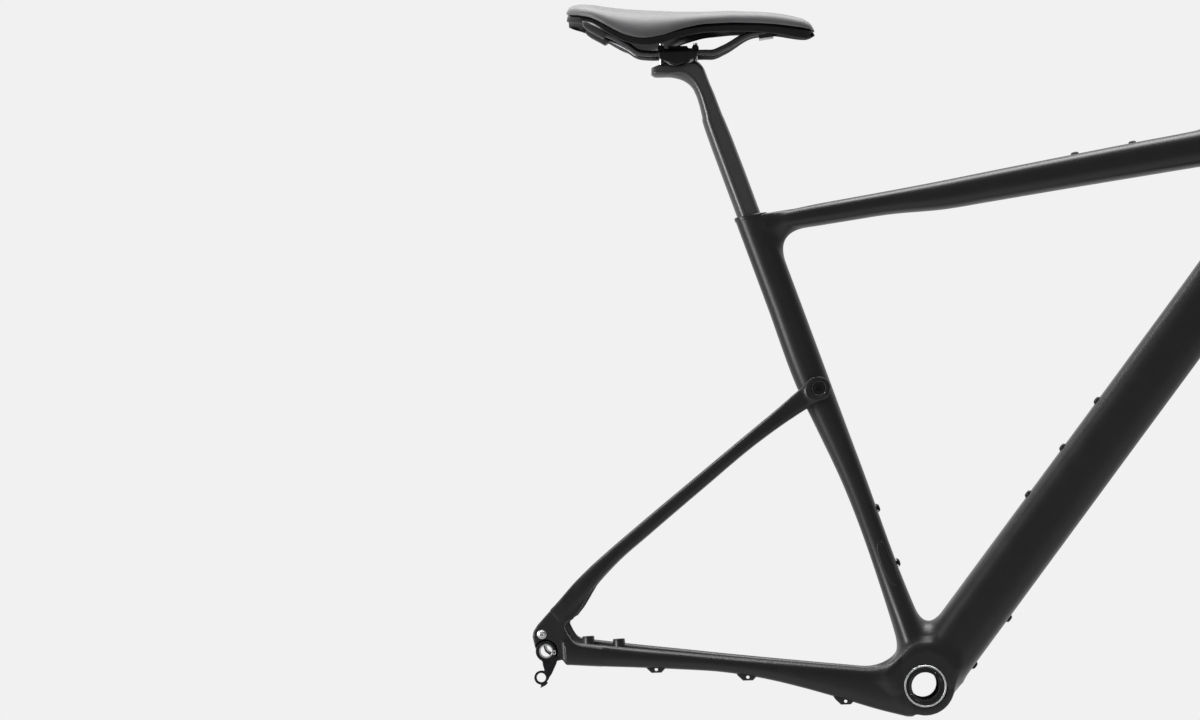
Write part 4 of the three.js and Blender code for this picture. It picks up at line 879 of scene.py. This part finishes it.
post_carbon = Finish("post_carbon", 0.3, Specular_IOR_Level=0.62)
streak = post_carbon.cloudy(46, 5, (9, 9, 1.2), 0.6, (0, math.radians(-16.7), 0))
post_carbon.shades(streak, (0.014, 0.014, 0.015), (0.030, 0.030, 0.031))
post_carbon.varies("Roughness", 0.25 + 0.14 * post_carbon.cloudy(70, 4))
post_carbon.raised(post_carbon.cloudy(900, 2), 0.00001, 0.2)
seat_post = surface("seat_post", post_points, post_carbon, 50)
rides(seat_post, "post", "post_carbon", "seatpost")

# The wedge and its bolt stay as they are inside the frame
for node, finish in (("binder_wedge", black_alloy), ("binder_bolt", bright_steel)):
    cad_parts[node].data.materials.clear()
    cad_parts[node].data.materials.append(finish.material)

# ---- Saddle clamp ----
# Two forged black plates hold the rails: a cradle that rocks on the post's head and a bridge over it.
# Two steel bolts through barrel nuts pull them together and set the tilt.
TILT = math.radians(3.0)
clamp_up = np.array((math.sin(TILT), 0, math.cos(TILT)))
clamp_along = np.array((math.cos(TILT), 0, -math.sin(TILT)))
clamp_at = np.array((-226, 0, 711.6))
GAUGE_HALF, RAIL_R, GROOVE_R, SCREW_AT = 22, 3.5, 3.9, 19


def softened(name, node, width, finish):
    """A copy of a machined part with its edges rounded over by a small width."""
    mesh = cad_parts[node].data.copy()
    mesh.materials.clear()
    work = bmesh.new()
    work.from_mesh(mesh)
    bmesh.ops.remove_doubles(work, verts=work.verts, dist=2e-6)
    bmesh.ops.dissolve_limit(work, angle_limit=math.radians(2), verts=work.verts, edges=work.edges)
    work.to_mesh(mesh)
    work.free()
    mesh.polygons.foreach_set("use_smooth", np.ones(len(mesh.polygons), bool))
    made = link(name, mesh, finish)
    bevel = made.modifiers.new("edges", "BEVEL")
    bevel.width, bevel.segments, bevel.limit_method = width * MM, 3, "ANGLE"
    bevel.angle_limit = math.radians(28)
    bevel.harden_normals = True
    bevel.use_clamp_overlap = True
    return made


def in_clamp(x, z):
    """A point's place along the clamp and above its middle."""
    x, z = x - float(clamp_at[0]), z - float(clamp_at[2])
    return math.cos(TILT) * x - math.sin(TILT) * z, math.sin(TILT) * x + math.cos(TILT) * z


def from_rail(aside, w):
    """Distance from the middle of the nearer rail."""
    return np.sqrt((aside - GAUGE_HALF) ** 2 + w**2)


CHEEK_LINE = np.array([(-21.5, 1.0), (20.5, 1.4), (20.0, -4.2), (2.6, -13), (-3.4, -13), (-20.5, -6.5)])
STRAP_LINE = np.array([
    (-24, 0.8), (-24, 3.2), (-13.6, 4.2), (-9.6, 9.4), (9.6, 9.4), (13.6, 4.2), (24, 3.2), (24, 0.8),
    (12.2, 1.4), (8, 6.6), (-8, 6.6), (-12.2, 1.4),
])


def cradle_body(x, y, z):
    """A drum that rocks on the post, a shelf with two grooves for the rails, and a pointed cheek on
    each side."""
    a, w = in_clamp(x, z)
    aside = np.abs(y)
    drum = cut_by(np.sqrt(a**2 + (w - 8) ** 2) - 20, np.maximum(np.abs(a) - 16, aside - 13), 0.8)
    shelf = cut_by(np.abs(w + 2.7) - 2.3, np.maximum(np.abs(a) - 20.5, aside - 28), 0.8)
    cheek = inside_line(a, w, CHEEK_LINE)
    cheek = cut_by(cheek, np.abs(aside - 27.4) - 1.7, 0.9)
    body = joined(joined(np.maximum(drum, w + 1), shelf, 1.5), cheek, 1.5)
    return cut_by(body, GROOVE_R - from_rail(aside, w), 0.6)


def bridge_body(x, y, z):
    """A thin arched strap from bolt to bolt, with a hollow cap over each rail."""
    a, w = in_clamp(x, z)
    aside = np.abs(y)
    strap = cut_by(inside_line(a, w, STRAP_LINE), aside - 9, 0.8)
    legs = cut_by(np.abs(np.abs(a) - 12.5) - 3.2, np.maximum(np.abs(w - 2.4) - 1.5, aside - 24), 0.8)
    caps = cut_by(from_rail(aside, w) - 5.3, np.maximum(np.abs(a) - 16, 0.6 - w), 0.8)
    body = joined(joined(strap, legs, 1.2), caps, 1.5)
    body = np.maximum(body, GROOVE_R - from_rail(aside, w))
    return np.maximum(body, 2.9 - np.sqrt((np.abs(a) - SCREW_AT) ** 2 + y**2))


for name, field, node in (("cradle", cradle_body, "clamp_cradle"), ("bridge", bridge_body, "clamp_bridge")):
    points, faces, normals, _ = skin_of(field, (-253, -31, 694), (-199, 31, 726), fine + 0.1)
    rides(moulded(name, points, faces, normals, black_alloy), "clamp", "black_alloy", node)
for side, word in ((-1, "rear"), (1, "front")):
    base = clamp_at + side * SCREW_AT * clamp_along
    rides(turned(f"clamp_screw_{word}", [
        (0, -20), (2.0, -20), (2.1, -19.8), (4.0, -20), (4.2, -19.6), (4.2, -17), (2.5, -17), (2.5, 12.6),
        (2.1, 13.0), (0, 13.0),
    ], base, clamp_up, bright_steel, 40), "clamp", "steel", f"clamp_bolt_{word}")
    rides(turned(f"clamp_barrel_{word}", [
        (0, -8), (3.3, -8), (3.8, -7.5), (3.8, 7.5), (3.3, 8), (0, 8),
    ], base + 7 * clamp_up, (0, 1, 0), black_alloy, 48), "clamp", "black_alloy", f"clamp_nut_{word}")

# ---- Saddle rails and shell ----
# The rails are one bent tube of hollow steel a side, finished dark. Their ends are pressed into sockets
# of the moulded plastic shell, which shows as a glossy band below the padding.
# Along the clamp, out from the middle plane, above the clamp
RAIL_KNOTS = (
    (-93, 36, 25.5), (-76, 33.5, 20.0), (-57, 27, 10.0), (-43, 22.4, 1.2), (-34, 22, 0), (-12, 22, 0),
    (12, 22, 0), (30, 22, 0), (38, 22, 0), (50, 20.0, 4.8), (81, 11.2, 21.4), (102, 7.5, 23.4),
)
rail_metal = Finish("rail_metal", 0.24, Metallic=0.95)
rail_metal.shades(rail_metal.cloudy(160, 3), (0.035, 0.035, 0.037), (0.075, 0.075, 0.078))
rail_metal.varies("Roughness", 0.20 + 0.14 * rail_metal.cloudy(500, 2, (0.1, 1, 1)))
for side, word in SIDES:
    knots = np.array([
        clamp_at + u * clamp_along + w * clamp_up + np.array((0, side * v, 0)) for u, v, w in RAIL_KNOTS
    ])
    length = np.concatenate([[0], np.cumsum(np.linalg.norm(np.diff(knots, axis=0), axis=1))])
    at = np.linspace(0, length[-1], 130)
    line = np.stack([eased(length, knots[:, k])(at) for k in range(3)], 1)
    along = np.gradient(line, axis=0)
    along /= np.linalg.norm(along, axis=1, keepdims=True)
    over = np.cross(along, (0, 1, 0))
    over /= np.linalg.norm(over, axis=1, keepdims=True)
    beside = np.cross(along, over)
    round_at = np.linspace(0, 2 * math.pi, 24, endpoint=False)
    cosine, sine = (f(round_at)[None, :, None] for f in (np.cos, np.sin))
    points = line[:, None] + RAIL_R * (cosine * over[:, None] + sine * beside[:, None])
    rail = surface(f"rail_{word}", points, rail_metal, 50)
    rides(rail, "saddle", "rail_metal", f"saddle_rail_{word}")

# Stations from tail to nose: x, half width, crown, cover's edge, shell's edge
SADDLE = np.array([
    (-346.0, 36, 768.0, 761.5, 758.5), (-341.0, 44, 772.2, 759.5, 756.5),
    (-332.0, 55, 773.5, 757.5, 754.5), (-318.9, 64, 772.0, 753.5, 750.5),
    (-305.4, 69, 769.0, 745.3, 742.3), (-287.4, 70.5, 766.0, 733.5, 730.5),
    (-270.6, 69, 763.6, 727.4, 724.4), (-258.4, 66, 762.2, 726.4, 723.2),
    (-241.8, 58, 760.6, 729.2, 725.8), (-220.6, 47.5, 758.6, 736.2, 732.4),
    (-197.3, 38, 757.3, 740.8, 736.6), (-165.4, 29, 756.4, 741.4, 736.8),
    (-133.5, 23.5, 753.6, 739.2, 734.4), (-113.0, 21.0, 750.4, 736.6, 731.0),
    (-100.0, 19.0, 747.2, 734.4, 727.6), (-90.0, 16.8, 744.0, 732.6, 725.2),
    (-84.0, 14.2, 741.4, 731.4, 724.6), (-79.0, 10.6, 738.0, 730.4, 725.4),
    (-76.0, 7.0, 734.6, 729.6, 726.8), (-74.0, 3.0, 731.0, 729.0, 728.4),
])
saddle_x = np.concatenate([
    np.linspace(-346, -330, 16, endpoint=False), np.linspace(-330, -86, 110, endpoint=False), np.linspace(-86, -74, 22),
])
saddle_half, saddle_crown, cover_edge, shell_edge = (
    np.interp(saddle_x, SADDLE[:, 0], SADDLE[:, k]) for k in (1, 2, 3, 4)
)


def calm(values, times=6):
    """Each value drawn to the mean of its neighbours, over and over, ends held."""
    values = values.copy()
    for _ in range(times):
        values[1:-1] = (values[:-2] + 2 * values[1:-1] + values[2:]) / 4
    return values


saddle_half, saddle_crown, cover_edge, shell_edge = map(calm, (saddle_half, saddle_crown, cover_edge, shell_edge))


def saddle_layer(inset, thick, edge, columns=56, tuck=0.0, channel=0.0):
    """A curved plate: across the saddle the outside is y = half sin(a), z = crown - drop (1 - cos a)^1.25,
    and the plate's section is a flattened oval laid along that line, so its edges are rounded. Towards
    tail and nose it thins to nothing along a quarter circle."""
    ends = np.clip(np.minimum(saddle_x - saddle_x[0], saddle_x[-1] - saddle_x) / (thick * 0.75), 0, 1)
    ends = np.sqrt(1 - (1 - ends) ** 2)
    phase = np.linspace(0, 2 * math.pi, columns * 2, endpoint=False)
    place, layer = squared(np.cos(phase), 2.0), squared(np.sin(phase), 3.2)
    a = place[None, :] * math.pi / 2
    half_in = saddle_half[:, None] - inset - thick / 2
    lower = saddle_crown - edge
    drop = (lower - thick / 2 - inset * 0.15)[:, None]
    y = half_in * np.sin(a)
    fall = (1 - np.cos(a)) ** 1.25
    z = saddle_crown[:, None] - inset - thick / 2 - drop * fall
    slope = drop * 1.25 * (1 - np.cos(a)) ** 0.25 * np.sin(a)
    run = half_in * np.cos(a)
    size = np.sqrt(slope**2 + run**2) + 1e-6
    ny, nz = slope / size, run / size
    push = (thick / 2 * ends)[:, None] * layer[None, :]
    y, z = y + push * ny, z + push * nz
    if channel:
        length = np.clip(np.minimum(saddle_x + 318, -125 - saddle_x) / 40, 0, 1)[:, None]
        groove = np.exp(-((y / 7.5) ** 4)) * length * length * (3 - 2 * length)
        z = z - channel * groove * (layer[None, :] > 0)
    z = z - (1 - ends)[:, None] * tuck
    return np.stack([np.repeat(saddle_x[:, None], y.shape[1], 1), y, z], -1)


shell_plastic = Finish("shell_plastic", 0.16, Specular_IOR_Level=0.35)
shell_plastic.shades(shell_plastic.cloudy(90, 3), (0.003, 0.003, 0.0033), (0.006, 0.006, 0.0064))
shell_plastic.varies("Roughness", 0.13 + 0.10 * shell_plastic.cloudy(260, 4))
shell_plastic.raised(shell_plastic.cloudy(1500, 2), 0.00001, 0.5)
shell_points = saddle_layer(6.0, 4.2, shell_edge)
shell_points[..., 1] *= 1.045
saddle_base = surface("saddle_base", shell_points, shell_plastic, 60)
rides(saddle_base, "saddle", "shell_plastic", "saddle_shell")
nose_socket = softened("nose_socket", "saddle_nose_socket", 1.2, shell_plastic)
rides(nose_socket, "saddle", "shell_plastic", "saddle_nose_socket")
for side, word in SIDES:
    at = clamp_at + np.array((0, side * 37.5, 0)) - 100 * clamp_along + 38 * clamp_up
    to = clamp_at + np.array((0, side * 34.6, 0)) - 78 * clamp_along + 19.5 * clamp_up
    run = to - at
    long = np.linalg.norm(run)
    rides(turned(f"tail_socket_{word}", [
        (0, -2), (6.0, -1), (9.0, 2), (9.6, 6), (9.2, 12), (7.6, 20), (6.2, long - 1), (5.4, long),
        (3.6, long), (3.6, 8), (0, 8),
    ], at, run, shell_plastic, 48), "saddle", "shell_plastic", f"saddle_socket_{word}")

# ---- Saddle cover ----
# Thin synthetic leather is stretched over moulded foam and glued under the shell's edge, so it lies
# tight and smooth. A shallow channel runs down the middle.
cover_skin = Finish("cover_skin", 0.5, Sheen_Weight=0.25, Sheen_Roughness=0.5)
cells = {"Vector": cover_skin.where, "Scale": 1100}
grain = cover_skin.node("ShaderNodeTexVoronoi", {"feature": "DISTANCE_TO_EDGE"}, cells)
grain = Value(cover_skin, grain.outputs["Distance"])
cover_skin.shades(cover_skin.cloudy(60, 4), (0.050, 0.050, 0.053), (0.072, 0.072, 0.075))
cover_skin.varies("Roughness", 0.44 + 0.14 * cover_skin.cloudy(220, 3))
cover_skin.raised(grain * 1.4 + cover_skin.cloudy(500, 2) * 0.4, 0.00008, 0.55)
cover_points = saddle_layer(0.0, 7.0, cover_edge, 72, 0.0, 2.2)
saddle_cover = surface("saddle_top", cover_points, cover_skin, 60)
rides(saddle_cover, "saddle", "saddle_skin", "saddle_cover")
